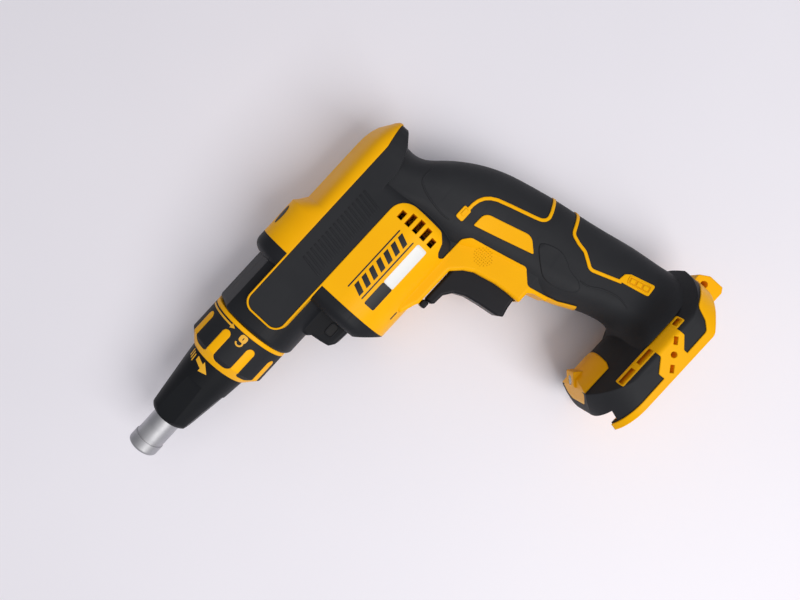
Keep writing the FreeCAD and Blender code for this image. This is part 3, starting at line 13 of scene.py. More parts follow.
import bmesh
import bpy
import numpy as np
from mathutils import Matrix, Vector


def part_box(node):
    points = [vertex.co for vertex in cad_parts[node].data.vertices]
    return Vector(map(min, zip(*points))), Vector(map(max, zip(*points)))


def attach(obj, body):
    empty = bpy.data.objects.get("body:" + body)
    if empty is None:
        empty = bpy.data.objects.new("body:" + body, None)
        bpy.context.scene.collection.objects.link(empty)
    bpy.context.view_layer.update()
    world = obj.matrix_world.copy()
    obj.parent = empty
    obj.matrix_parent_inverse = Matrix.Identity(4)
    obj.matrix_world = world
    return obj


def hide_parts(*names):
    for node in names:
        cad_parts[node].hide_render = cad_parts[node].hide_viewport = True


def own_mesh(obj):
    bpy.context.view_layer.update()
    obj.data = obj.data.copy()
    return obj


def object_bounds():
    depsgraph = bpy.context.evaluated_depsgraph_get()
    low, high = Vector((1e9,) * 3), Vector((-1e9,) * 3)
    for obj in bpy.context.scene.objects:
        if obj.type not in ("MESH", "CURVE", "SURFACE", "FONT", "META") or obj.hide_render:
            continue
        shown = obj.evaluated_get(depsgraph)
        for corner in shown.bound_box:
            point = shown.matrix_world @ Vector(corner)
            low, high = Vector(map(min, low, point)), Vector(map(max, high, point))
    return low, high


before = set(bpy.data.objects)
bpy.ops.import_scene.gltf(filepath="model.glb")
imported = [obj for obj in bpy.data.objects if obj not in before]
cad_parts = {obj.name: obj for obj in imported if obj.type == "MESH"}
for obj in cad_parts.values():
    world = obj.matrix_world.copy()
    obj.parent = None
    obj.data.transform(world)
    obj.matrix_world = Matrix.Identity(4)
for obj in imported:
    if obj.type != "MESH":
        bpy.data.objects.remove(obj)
CAD_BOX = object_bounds()
LOG = logging.getLogger("screwgun")
MM = 0.001
SIGHT_MM = 90.0
STEP_MM = 0.2
PRINT_BEVEL = 0.02
SMOOTH_DEG = 38.0

Pair = tuple[float, float]
Corners = tuple[Pair, ...]
Colour = Place = tuple[float, float, float]
Surface = Callable[[np.ndarray, np.ndarray, np.ndarray], np.ndarray]


class Side(enum.Enum):
    """Side of the tool; the left one faces up as it lies."""

    LEFT = 1
    RIGHT = -1

    @property
    def word(self) -> str:
        """The side's name for pieces."""
        return self.name.lower()


class Value:
    """A number in a shader; sums and products of values add Math nodes."""

    def __init__(self, graph: "Graph", socket: bpy.types.NodeSocket) -> None:
        """Keeps the graph and the socket that gives the number."""
        self.graph = graph
        self.socket = socket

    def __add__(self, other: Any) -> "Value":
        """Sum of two values."""
        return self.graph.math("ADD", self, other)

    __radd__ = __add__

    def __sub__(self, other: Any) -> "Value":
        """Difference of two values."""
        return self.graph.math("SUBTRACT", self, other)

    def __rsub__(self, other: Any) -> "Value":
        """Difference with the number on the left."""
        return self.graph.math("SUBTRACT", other, self)

    def __mul__(self, other: Any) -> "Value":
        """Product of two values."""
        return self.graph.math("MULTIPLY", self, other)

    __rmul__ = __mul__

    def above(self, edge: float, blur: float) -> "Value":
        """Soft step from 0 to 1 where the value passes an edge.

        Args:
            edge: the value in the middle of the step.
            blur: the width of the step.

        Returns:
            A value from 0 to 1.
        """
        return self.graph.math("ADD", self * (1.0 / blur), 0.5 - edge / blur, clamp=True)

    def between(self, low: float, high: float, blur: float) -> "Value":
        """Soft window: 1 between two edges and 0 outside them."""
        return self.above(low, blur) * (1 - self.above(high, blur))


class Graph:
    """Node tree of one material, with its surface shader."""

    def __init__(self, name: str) -> None:
        """Makes an empty material that reads Object coordinates."""
        self.material = bpy.data.materials.new(name)
        self.material.use_nodes = True
        self.tree = self.material.node_tree
        self.tree.nodes.clear()
        self.place = self.node("ShaderNodeTexCoord").outputs["Object"]

    def node(self, kind: str, settings: Mapping[str, Any] | None = None,
             inputs: Mapping[Any, Any] | None = None) -> bpy.types.Node:
        """Adds one node.

        Args:
            kind: the node's type.
            settings: properties that are set first.
            inputs: a value, socket or constant for each named input.

        Returns:
            The new node.
        """
        node = self.tree.nodes.new(kind)
        for key, value in (settings or {}).items():
            setattr(node, key, value)
        for key, value in (inputs or {}).items():
            source = value.socket if isinstance(value, Value) else value
            if isinstance(source, bpy.types.NodeSocket):
                self.tree.links.new(source, node.inputs[key])
            else:
                node.inputs[key].default_value = source
        return node

    def math(self, operation: str, first: Any, second: Any, clamp: bool = False) -> Value:
        """One Math node on two values or numbers."""
        node = self.node("ShaderNodeMath", {"operation": operation, "use_clamp": clamp},
                         {0: first, 1: second})
        return Value(self, node.outputs[0])

    def noise(self, size_mm: float, detail: float = 2.0,
              stretch: Place = (1, 1, 1)) -> Value:
        """Cloudy pattern of a given grain size, optionally drawn out along an axis.

        Args:
            size_mm: size of one grain.
            detail: number of finer layers.
            stretch: how far the grains are drawn out on each axis.

        Returns:
            A value from about 0 to 1.
        """
        scale = [1.0 / (size_mm * MM * part) for part in stretch]
        spread = self.node("ShaderNodeMapping", None, {"Vector": self.place, "Scale": scale})
        node = self.node("ShaderNodeTexNoise", None, {
            "Vector": spread.outputs[0], "Scale": 1.0, "Detail": detail})
        return Value(self, node.outputs[0])

    def axis(self, name: str) -> Value:
        """One Object coordinate in millimetres."""
        parts = self.node("ShaderNodeSeparateXYZ", None, {0: self.place})
        return Value(self, parts.outputs[name]) * (1 / MM)

    def blend(self, factor: Value, first: Colour, second: Colour) -> bpy.types.NodeSocket:
        """Mixes two colours by a value."""
        node = self.node("ShaderNodeMix", {"data_type": "RGBA"}, {
            0: factor, 6: (*first, 1.0), 7: (*second, 1.0)})
        return node.outputs[2]

    def relief(self, height: Value, depth_mm: float, edge_mm: float) -> bpy.types.NodeSocket:
        """Normal with rounded edges and a fine relief on top.

        Args:
            height: the relief, from 0 to 1.
            depth_mm: what the relief's full height stands for.
            edge_mm: the radius that sharp edges seem to have.

        Returns:
            A socket for a shader's Normal.
        """
        edge = self.node("ShaderNodeBevel", {"samples": 6}, {"Radius": edge_mm * MM})
        bump = self.node("ShaderNodeBump", None, {
            "Strength": 1.0, "Distance": depth_mm * MM, "Height": height,
            "Normal": edge.outputs[0]})
        return bump.outputs[0]

    def surface(self, inputs: Mapping[str, Any]) -> bpy.types.Material:
        """Closes the graph with a Principled shader that has these inputs.

        Args:
            inputs: the shader's inputs.

        Returns:
            The finished material.
        """
        shader = self.node("ShaderNodeBsdfPrincipled", None, inputs)
        self.node("ShaderNodeOutputMaterial", None, {"Surface": shader.outputs[0]})
        return self.material


@dataclass(frozen=True)
class MouldedPlastic:
    """Moulded plastic or rubber: two close shades, fine grain, faint scuffs and round edges."""

    name: str
    colour: Colour
    shade: Colour
    roughness: float
    grain_mm: float = 0.45
    depth_mm: float = 0.012
    edge_mm: float = 0.5
    shine: float = 0.5
    cloud_mm: float = 22.0
    cloud_swing: float = 0.10
    scuff: float = 0.08
    scuff_mm: float = 1.6
    scuff_stretch: float = 9.0
    scuff_edge: float = 0.64
    scuff_blur: float = 0.10
    tint_mm: float = 34.0
    tint_band: Pair = (0.38, 0.75)
    tint_blur: float = 0.35

    def rough(self, graph: Graph) -> Value:
        """Roughness over the surface: the base, soft clouds and fine scuffs along the tool.

        Args:
            graph: the node tree that gets the nodes.

        Returns:
            The roughness.
        """
        clouds = graph.noise(self.cloud_mm)
        streaks = graph.noise(self.scuff_mm, 4.0, (self.scuff_stretch, 1.0, 1.0))
        scuffs = streaks.above(self.scuff_edge, self.scuff_blur)
        base = self.roughness - self.cloud_swing / 2
        return clouds * self.cloud_swing + scuffs * self.scuff + base

    def tint(self, graph: Graph) -> bpy.types.NodeSocket:
        """Colour over the surface: the shade shows in soft clouds."""
        clouds = graph.noise(self.tint_mm, 3.0)
        return graph.blend(clouds.between(*self.tint_band, self.tint_blur), self.colour, self.shade)

    def build(self) -> bpy.types.Material:
        """Makes the material."""
        graph = Graph(self.name)
        grain = graph.noise(self.grain_mm, 3.0)
        return graph.surface({
            "Base Color": self.tint(graph), "Roughness": self.rough(graph),
            "Normal": graph.relief(grain, self.depth_mm, self.edge_mm),
            "Specular IOR Level": self.shine, "IOR": 1.5})


@dataclass(frozen=True)
class CaseResin(MouldedPlastic):
    """Gear case resin: grained below, with a smooth polished facet along the upper side."""

    facet_levels: Pair = (13.5, 24.0)
    facet_places: Pair = (92.5, 127.0)
    facet_blur: float = 0.5
    polish: float = 0.10

    def rough(self, graph: Graph) -> Value:
        """Roughness of the grained resin, lowered on the polished facet.

        Args:
            graph: the node tree that gets the nodes.

        Returns:
            The roughness.
        """
        facet = graph.axis("Y").between(*self.facet_levels, self.facet_blur)
        facet = facet * graph.axis("X").between(*self.facet_places, self.facet_blur)
        return super().rough(graph) - facet * self.polish


@dataclass(frozen=True)
class TurnedMetal:
    """Turned or ground metal: rings left by the tool along one axis, and a soft tarnish."""

    name: str
    colour: Colour
    shade: Colour
    roughness: float
    ring_mm: float = 0.25
    depth_mm: float = 0.006
    edge_mm: float = 0.3
    ring_stretch: float = 160.0
    ring_swing: float = 0.12
    tarnish_mm: float = 9.0
    tarnish_band: Pair = (0.45, 0.9)
    tarnish_blur: float = 0.3
    tarnish_swing: float = 0.14

    def build(self) -> bpy.types.Material:
        """Makes the material."""
        graph = Graph(self.name)
        rings = graph.noise(self.ring_mm, 2.0, (1.0, self.ring_stretch, self.ring_stretch))
        tarnish = graph.noise(self.tarnish_mm, 3.0)
        spots = tarnish.between(*self.tarnish_band, self.tarnish_blur)
        base = self.roughness - (self.ring_swing + self.tarnish_swing) / 2
        return graph.surface({
            "Base Color": graph.blend(spots, self.colour, self.shade), "Metallic": 1.0,
            "Roughness": rings * self.ring_swing + tarnish * self.tarnish_swing + base,
            "Normal": graph.relief(rings, self.depth_mm, self.edge_mm)})


@dataclass(frozen=True)
class WoundWire:
    """Enamelled wire laid side by side: round turns along the motor's axis, with painted shade in
    the grooves between turns.
    """

    name: str
    colour: Colour
    shade: Colour
    wire_mm: float = 0.7
    waver: float = 0.6
    roughness: float = 0.42
    gloss: float = 0.12
    metal: float = 0.7
    depth_mm: float = 0.15
    edge_mm: float = 0.2

    def build(self) -> bpy.types.Material:
        """Makes the material."""
        graph = Graph(self.name)
        wave = graph.node("ShaderNodeTexWave", {"wave_profile": "SIN", "bands_direction": "X"}, {
            "Vector": graph.place, "Scale": 1.0 / (self.wire_mm * MM * math.tau),
            "Distortion": self.waver, "Detail": 1.0})
        turns = Value(graph, wave.outputs[1])
        # Colour runs from the dark shade in the valleys between turns to the wire colour on their
        # crests: painted shade in the grooves.
        return graph.surface({
            "Base Color": graph.blend(turns, self.shade, self.colour),
            "Roughness": self.roughness - turns * self.gloss, "Metallic": self.metal,
            "Normal": graph.relief(turns, self.depth_mm, self.edge_mm)})


@dataclass(frozen=True)
class ClearLens:
    """Clear lens over the lamp, slightly ribbed inside."""

    name: str
    colour: Colour
    shade: Colour
    rib_mm: float = 0.5
    rib_stretch: float = 8.0
    roughness: float = 0.06
    rib_swing: float = 0.10
    clearness: float = 0.75
    depth_mm: float = 0.05
    edge_mm: float = 0.2

    def build(self) -> bpy.types.Material:
        """Makes the material."""
        graph = Graph(self.name)
        ribs = graph.noise(self.rib_mm, 1.0, (1.0, 1.0, self.rib_stretch))
        return graph.surface({
            "Base Color": graph.blend(ribs, self.colour, self.shade),
            "Roughness": ribs * self.rib_swing + self.roughness, "IOR": 1.49,
            "Transmission Weight": self.clearness,
            "Normal": graph.relief(ribs, self.depth_mm, self.edge_mm)})


@dataclass(frozen=True)
class PaleFloor:
    """Plain pale floor with a faint mottle."""

    name: str
    colour: Colour
    shade: Colour
    mottle_mm: float = 160.0
    roughness: float = 0.55
    mottle_swing: float = 0.1

    def build(self) -> bpy.types.Material:
        """Makes the material."""
        graph = Graph(self.name)
        mottle = graph.noise(self.mottle_mm, 2.0)
        return graph.surface({
            "Base Color": graph.blend(mottle, self.colour, self.shade),
            "Roughness": mottle * self.mottle_swing + self.roughness})


YELLOW = MouldedPlastic("yellow_moulding", (0.98, 0.49, 0.003), (0.95, 0.45, 0.003),
                        0.33, 0.4, 0.006, 0.9, 0.07)
# Darker yellow for the inlay's floor: painted shade of the recess.
RECESS_SHADE_YELLOW = MouldedPlastic("painted_recess_shade_yellow", (0.80, 0.34, 0.003), (0.74, 0.31, 0.003),
                       0.45, 0.4, 0.006, 0.3, 0.07)
GRIP = MouldedPlastic("soft_black_grip", (0.017, 0.018, 0.021), (0.023, 0.024, 0.027),
                      0.58, 0.5, 0.02, 0.6, 0.16)
RESIN = CaseResin("black_case_resin", (0.011, 0.012, 0.014), (0.015, 0.016, 0.019),
                  0.50, 0.45, 0.012, 0.7, 0.12)
CONE = MouldedPlastic("black_nose_resin", (0.008, 0.009, 0.011), (0.011, 0.012, 0.014),
                      0.44, 0.4, 0.010, 0.6, 0.10)
RUBBER = MouldedPlastic("black_collar_rubber", (0.012, 0.013, 0.016), (0.017, 0.018, 0.021),
                        0.60, 0.5, 0.014, 0.4, 0.16)
KNOB = MouldedPlastic("black_trigger_resin", (0.010, 0.010, 0.012), (0.014, 0.014, 0.017),
                      0.42, 0.4, 0.008, 0.6, 0.13)
NOSE = TurnedMetal("turned_nose_metal", (0.56, 0.56, 0.575), (0.47, 0.47, 0.49), 0.50)
STEEL = TurnedMetal("ground_steel", (0.55, 0.56, 0.58), (0.42, 0.42, 0.44), 0.34)
OXIDE = TurnedMetal("black_oxide_steel", (0.06, 0.06, 0.065), (0.10, 0.10, 0.11), 0.40)
LAMINATE = TurnedMetal("stacked_laminations", (0.26, 0.26, 0.28), (0.18, 0.18, 0.19),
                       0.48, 0.5, 0.03)
BRASS = TurnedMetal("plated_contact", (0.82, 0.64, 0.30), (0.70, 0.52, 0.22), 0.28)
COPPER = WoundWire("enamelled_winding_painted_groove_shade", (0.78, 0.36, 0.16), (0.34, 0.13, 0.05))
BOARD = MouldedPlastic("green_board", (0.02, 0.12, 0.05), (0.03, 0.16, 0.07), 0.38, 0.8, 0.02, 0.2)
POTTING = MouldedPlastic("potted_block", (0.03, 0.03, 0.034), (0.05, 0.05, 0.055),
                         0.55, 1.2, 0.05, 0.4)
LEAD = MouldedPlastic("lead_insulation", (0.03, 0.03, 0.034), (0.05, 0.05, 0.052),
                      0.40, 0.5, 0.01, 0.2)
FAN = MouldedPlastic("fan_moulding", (0.06, 0.06, 0.066), (0.08, 0.08, 0.088), 0.45)
INK = MouldedPlastic("yellow_print", (0.90, 0.48, 0.012), (0.80, 0.40, 0.010),
                     0.50, 0.3, 0.004, 0.05)
DARK_INK = MouldedPlastic("dark_print", (0.012, 0.012, 0.013), (0.020, 0.020, 0.022),
                          0.42, 0.3, 0.004, 0.05, 0.2)
WHITE_INK = MouldedPlastic("white_print", (0.84, 0.84, 0.82), (0.77, 0.77, 0.76),
                           0.40, 0.3, 0.004, 0.05)
LENS = ClearLens("clear_lamp_lens", (0.90, 0.94, 1.0), (0.80, 0.86, 0.94))
FLOOR = PaleFloor("pale_floor", (0.84, 0.82, 0.88), (0.89, 0.87, 0.93))

FINISHED_NODES: tuple[tuple[Any, str], ...] = (
    (YELLOW, "left_housing right_housing collar_core"), (GRIP, "left_grip right_grip"),
    (RESIN, "gear_case bearing_plate"), (CONE, "nose_cone"), (NOSE, "nosepiece"),
    (RUBBER, "collar_grip spindle_seal"), (KNOB, "trigger reverse_lever"),
    (OXIDE, "gear_case_screws housing_screws"), (FAN, "cooling_fan"), (COPPER, "stator_coils"),
    (STEEL, "bearing_outer_ring bearing_balls bearing_inner_ring gear_bearing rotor_shaft pinion"),
    (STEEL, "front_motor_bearing rear_motor_bearing drive_gear clutch_spring spindle bit_holder"),
    (LAMINATE, "stator_core rotor_core bit_magnet"), (BOARD, "sensor_board lamp_board"),
    (POTTING, "switch_plunger switch_body control_module terminal_block"),
    (BRASS, "battery_contacts"), (LEAD, "motor_leads"), (LENS, "lamp_lens"),
)


@dataclass(frozen=True)
class Shell:
    """Closed surface: points in metres, quads, and the triangles that shut its ends."""

    points: np.ndarray
    quads: np.ndarray
    fans: np.ndarray


class Workshop:
    """Turns worked-out surfaces into pieces, and keeps one material per finish."""

    def __init__(self) -> None:
        """Starts with no materials."""
        self.materials: dict[str, bpy.types.Material] = {}

    def material(self, finish: Any) -> bpy.types.Material:
        """The finish's material, made the first time it is asked for."""
        if finish.name not in self.materials:
            self.materials[finish.name] = finish.build()
        return self.materials[finish.name]

    def dress(self, node: str, finish: Any) -> None:
        """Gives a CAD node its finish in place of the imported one.

        Args:
            node: the node's name.
            finish: the finish that it gets.
        """
        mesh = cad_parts[node].data
        mesh.materials.clear()
        mesh.materials.append(self.material(finish))

    def piece(self, name: str, shells: Sequence[Shell], finish: Any, body: str) -> bpy.types.Object:
        """Puts closed shells into one mesh that rides on a body.

        Args:
            name: the piece's name.
            shells: its closed surfaces.
            finish: the finish that it gets.
            body: the CAD body that carries it.

        Returns:
            The new object, at the origin.
        """
        starts = np.cumsum([0] + [len(shell.points) for shell in shells])
        points = np.concatenate([shell.points for shell in shells])
        quads = np.concatenate([shell.quads + start for shell, start in zip(shells, starts)])
        fans = np.concatenate([shell.fans + start for shell, start in zip(shells, starts)])
        mesh = bpy.data.meshes.new(name)
        mesh.from_pydata(points.tolist(), [], quads.tolist() + fans.tolist())
        shape = bmesh.new()
        shape.from_mesh(mesh)
        bmesh.ops.recalc_face_normals(shape, faces=shape.faces)
        shape.to_mesh(mesh)
        shape.free()
        mesh.polygons.foreach_set("use_smooth", np.ones(len(mesh.polygons), bool))
        mesh.set_sharp_from_angle(angle=math.radians(SMOOTH_DEG))
        mesh.materials.append(self.material(finish))
        thing = bpy.data.objects.new(name, mesh)
        bpy.context.scene.collection.objects.link(thing)
        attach(thing, body)
        LOG.info("%s: %d points on %s", name, len(points), body)
        return thing


def ring_shell(rings: np.ndarray) -> Shell:
    """Closed surface through rings of points, shut at both ends by fans to their middles.

    Args:
        rings: array of ring, point on the ring and coordinate.

    Returns:
        The shell.
    """
    count, around = rings.shape[:2]
    row = np.arange(count - 1)[:, None] * around
    here = np.arange(around)
    after = np.roll(here, -1)
    quads = np.stack([row + here, row + after, row + around + after, row + around + here], -1)
    end, heart = (count - 1) * around, count * around
    low = np.stack([np.full(around, heart), after, here], -1)
    high = np.stack([np.full(around, heart + 1), end + here, end + after], -1)
    points = np.concatenate([rings.reshape(-1, 3), rings[[0, -1]].mean(1)])
    return Shell(points, quads.reshape(-1, 4), np.concatenate([low, high]))


def even(outline: np.ndarray, count: int, closed: bool = True) -> np.ndarray:
    """Outline or line with its points set at equal steps along its length.

    Args:
        outline: corner points in order.
        count: number of points to return.
        closed: whether the last point joins the first.

    Returns:
        Array of count points.
    """
    line = np.concatenate([outline, outline[:1]]) if closed else outline
    reach = np.concatenate([[0], np.cumsum(np.linalg.norm(np.diff(line, axis=0), axis=1))])
    marks = np.linspace(0, reach[-1], count, endpoint=not closed)
    return np.stack([np.interp(marks, reach, line[:, axis]) for axis in (0, 1)], -1)


def rounded_box(wide: float, tall: float, radius: float, count: int = 96,
                corner_points: int = 64) -> np.ndarray:
    """Rounded rectangle about 0: quarter circles set out from the corner centres.

    Args:
        wide: full width.
        tall: full height.
        radius: radius of its corners.
        count: number of points to return.
        corner_points: points on the four corners before they are spread out.

    Returns:
        Array of points.
    """
    turn = (np.arange(corner_points) + 0.5) / corner_points * math.tau
    across, up = np.cos(turn), np.sin(turn)
    corners = np.stack([np.sign(across) * (wide / 2 - radius) + radius * across,
                        np.sign(up) * (tall / 2 - radius) + radius * up], -1)
    return even(corners, count)


def softened(corners: Sequence[Pair], count: int = 120, rounds: int = 3,
             closed: bool = True) -> np.ndarray:
    """Outline or line with its corners cut round: each pass keeps two points of each side.

    Args:
        corners: corner points in order.
        count: number of points to return.
        rounds: number of passes.
        closed: whether the last point joins the first; an open line keeps its ends.

    Returns:
        Array of count points.
    """
    line = np.array(corners, float)
    for _ in range(rounds):
        here, after = (line, np.roll(line, -1, axis=0)) if closed else (line[:-1], line[1:])
        cut = np.stack([here * 0.75 + after * 0.25, here * 0.25 + after * 0.75], 1).reshape(-1, 2)
        line = cut if closed else np.concatenate([line[:1], cut, line[-1:]])
    return even(line, count, closed)


def plate_shell(outline: np.ndarray, surface: Surface, height: float,
                bevel: float = PRINT_BEVEL, sink: float = 0.2, steps: int = 8) -> Shell:
    """Thin plate on a surface: rings shrink from the outline to its middle.

    Args:
        outline: points on the surface, in millimetres of its two directions.
        surface: gives points in space from the two directions and a height above it.
        height: how far the plate stands above the surface.
        bevel: width and depth of its sloped edge.
        sink: how far its underside lies in the surface.
        steps: number of rings on its top.

    Returns:
        The shell.
    """
    middle = outline.mean(0)
    reach = np.linalg.norm(outline - middle, axis=1).mean()
    heart, below = 0.02, 0.5
    inner = np.linspace(heart, 1 - bevel / reach, steps)
    shares = np.concatenate([inner, [1.0, 1.0, below]])
    heights = np.concatenate([np.full(steps, height), [height - bevel, -sink, -sink]])
    spread = middle + (outline - middle)[None] * shares[:, None, None]
    tall = np.broadcast_to(heights[:, None], spread.shape[:2])
    return ring_shell(surface(spread[..., 0], spread[..., 1], tall))


def bead_shell(path: np.ndarray, width: np.ndarray, height: np.ndarray, surface: Surface,
               sink: float = 0.2, arc: int = 8) -> Shell:
    """Raised bead along a line on a surface: half ellipses set square to the line.

    Args:
        path: points of the line, in millimetres of the surface's two directions.
        width: bead width at each point.
        height: bead height at each point.
        surface: gives points in space from the two directions and a height above it.
        sink: how far its underside lies in the surface.
        arc: points on the half ellipse.

    Returns:
        The shell.
    """
    way = np.gradient(path, axis=0)
    way = way / np.linalg.norm(way, axis=1, keepdims=True)
    across = np.stack([-way[:, 1], way[:, 0]], -1)
    turn = np.linspace(0, math.pi, arc)
    side = np.concatenate([np.cos(turn), [-1.0, 1.0]])
    up = np.concatenate([np.sin(turn), [0.0, 0.0]])
    low = np.concatenate([np.zeros(arc), [sink, sink]])
    spread = path[:, None] + across[:, None] * (side[None, :, None] * width[:, None, None] / 2)
    tall = up[None] * height[:, None] - low[None]
    return ring_shell(surface(spread[..., 0], spread[..., 1], tall))


def rim_shell(outline: np.ndarray, width: float, height: float, surface: Surface) -> Shell:
    """Bead of even width and height all round an outline on a surface."""
    loop = np.concatenate([outline, outline[:1]])
    return bead_shell(loop, np.full(len(loop), width), np.full(len(loop), height), surface)


def round_surface(radius: float) -> Surface:
    """Cylinder about the spindle line; its directions are place and arc length."""

    def place(x: np.ndarray, arc: np.ndarray, up: np.ndarray) -> np.ndarray:
        """Points from place, arc length and height: the arc over the radius is the turn."""
        turn = arc / radius
        out = radius + up
        return np.stack([x, out * np.cos(turn), out * np.sin(turn)], -1) * MM

    return place


def cone_surface(front: float, front_radius: float, slope: float) -> Surface:
    """Cone about the spindle line; its directions are place and turn in degrees."""

    def place(x: np.ndarray, turn: np.ndarray, up: np.ndarray) -> np.ndarray:
        """Points from place, turn and height: the radius grows evenly with the place."""
        angle = np.radians(turn)
        out = front_radius + (x - front) * slope + up
        return np.stack([x, out * np.cos(angle), out * np.sin(angle)], -1) * MM

    return place


def barrel_surface(half: float, drop: float, side: Side) -> Surface:
    """Barrel side: flat down to the motor's axis and round below it.

    Args:
        half: half width of the barrel, which is also the round's radius.
        drop: how far the motor's axis lies below the spindle line.
        side: the tool's side.

    Returns:
        A surface whose directions are place and height, measured along the wall below the axis.
    """

    def place(x: np.ndarray, y: np.ndarray, up: np.ndarray) -> np.ndarray:
        """Points from place, level and height: below the axis, the level is an arc length."""
        turn = np.maximum(-drop - y, 0) / half
        out = half + up
        level = np.where(y < -drop, -drop - out * np.sin(turn), y)
        return np.stack([x, level, side.value * out * np.cos(turn)], -1) * MM

    return place


def draped_surface(nodes: tuple[str, str], side: Side, tilt: float = 0.0) -> Surface:
    """Skin of two solids as seen from one side of the tool.

    Points drop on to the nearer solid along the line of sight. The way out of the skin is the
    cross product of two short steps along it.

    Args:
        nodes: the two solids.
        side: the tool's side.
        tilt: how far the line of sight leans towards the tool's top, in degrees.

    Returns:
        A surface whose directions are place and height, both square to the line of sight.
    """
    lean = math.radians(-tilt)
    rise = np.array([0.0, math.cos(lean) * side.value, math.sin(lean)])
    out = np.array([0.0, -math.sin(lean), math.cos(lean) * side.value])
    turn = np.stack([[1.0, 0.0, 0.0], rise, out], 1)

    def drop(x: np.ndarray, level: np.ndarray) -> np.ndarray:
        """Points of the skin along the line of sight, from a probe shrunk on to the solids."""
        start = np.stack([x, level * side.value, np.full_like(x, SIGHT_MM)], -1) * MM
        mesh = bpy.data.meshes.new("probe")
        mesh.from_pydata(start.reshape(-1, 3).tolist(), [], [])
        probe = bpy.data.objects.new("probe", mesh)
        bpy.context.scene.collection.objects.link(probe)
        probe.matrix_world = Matrix(turn.tolist()).to_4x4()
        wrap = probe.modifiers.new("drape", "SHRINKWRAP")
        wrap.wrap_method = "PROJECT"
        wrap.target, wrap.auxiliary_target = (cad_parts[node] for node in nodes)
        wrap.use_project_z = wrap.use_negative_direction = True
        wrap.use_positive_direction = False
        landed = np.empty(start.size)
        shape = probe.evaluated_get(bpy.context.evaluated_depsgraph_get()).data
        shape.vertices.foreach_get("co", landed)
        bpy.data.objects.remove(probe)
        bpy.data.meshes.remove(mesh)
        return landed.reshape(start.shape) @ turn.T

    def place(x: np.ndarray, level: np.ndarray, up: np.ndarray) -> np.ndarray:
        """Points of the skin, moved out of it by a height."""
        here, ahead, above = drop(np.stack([x, x + STEP_MM, x]),
                                  np.stack([level, level, level + STEP_MM]))
        way = np.cross(ahead - here, above - here) * side.value
        way = way / np.linalg.norm(way, axis=-1, keepdims=True)
        return here + way * up[..., None] * MM

    return place


def edge_of(node: str, axis: int, high: bool) -> float:
    """One face of a node's box, in millimetres."""
    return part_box(node)[int(high)][axis] / MM


@dataclass
class NoseGroup:
    """Nosepiece and cone, with the printed setting arrow on the cone."""

    body: str = "nose"
    arrow_place: float = 4.7
    arrow_width: float = 6.2
    shaft_share: float = 0.42
    neck_share: float = 0.5
    arrow_slant: float = 3.2
    arrow_turns: Pair = (63.0, 98.0)
    tick_turns: tuple[float, ...] = (43.0, 49.0, 55.0)
    tick_length: float = 4.2
    tick_half_turn: float = 1.3
    print_height: float = 0.06
    print_points: int = 64
    cone_radius: float = 17.0
    cone_slope: float = 0.1123

    def build(self, shop: Workshop) -> None:
        """Makes the printed marks: a broad slanted arrow round the cone, and ticks before it."""
        rear = edge_of("collar_core", 0, False)
        surface = cone_surface(rear, self.cone_radius, self.cone_slope)
        middle = rear - self.arrow_place
        start, end = self.arrow_turns
        neck = start + (end - start) * self.neck_share
        half = self.arrow_width / 2
        slim = half * self.shaft_share
        shaft = np.array([(-slim, start), (slim, start), (slim, neck), (-slim, neck)])
        head = np.array([(-half, neck), (half, neck), (0.0, end)])
        shells = [self.print_shell(part, middle, surface) for part in (shaft, head)]
        tick = self.tick_length / 2
        for turn in self.tick_turns:
            low, high = turn - self.tick_half_turn, turn + self.tick_half_turn
            box = np.array([(-tick, low), (tick, low), (tick, high), (-tick, high)])
            shells.append(self.print_shell(box, middle - tick, surface))
        shop.piece("cone_print", shells, INK, self.body)

    def print_shell(self, outline: np.ndarray, middle: float, surface: Surface) -> Shell:
        """Thin print from an outline whose places slide forward as its turn grows.

        Args:
            outline: places along the tool and turns in degrees.
            middle: place of its middle.
            surface: the skin that carries it.

        Returns:
            The shell.
        """
        start, end = self.arrow_turns
        slide = self.arrow_slant * (0.5 - (outline[:, 1] - start) / (end - start))
        spread = np.stack([outline[:, 0] + slide + middle, outline[:, 1]], -1)
        return plate_shell(even(spread, self.print_points), surface, self.print_height)


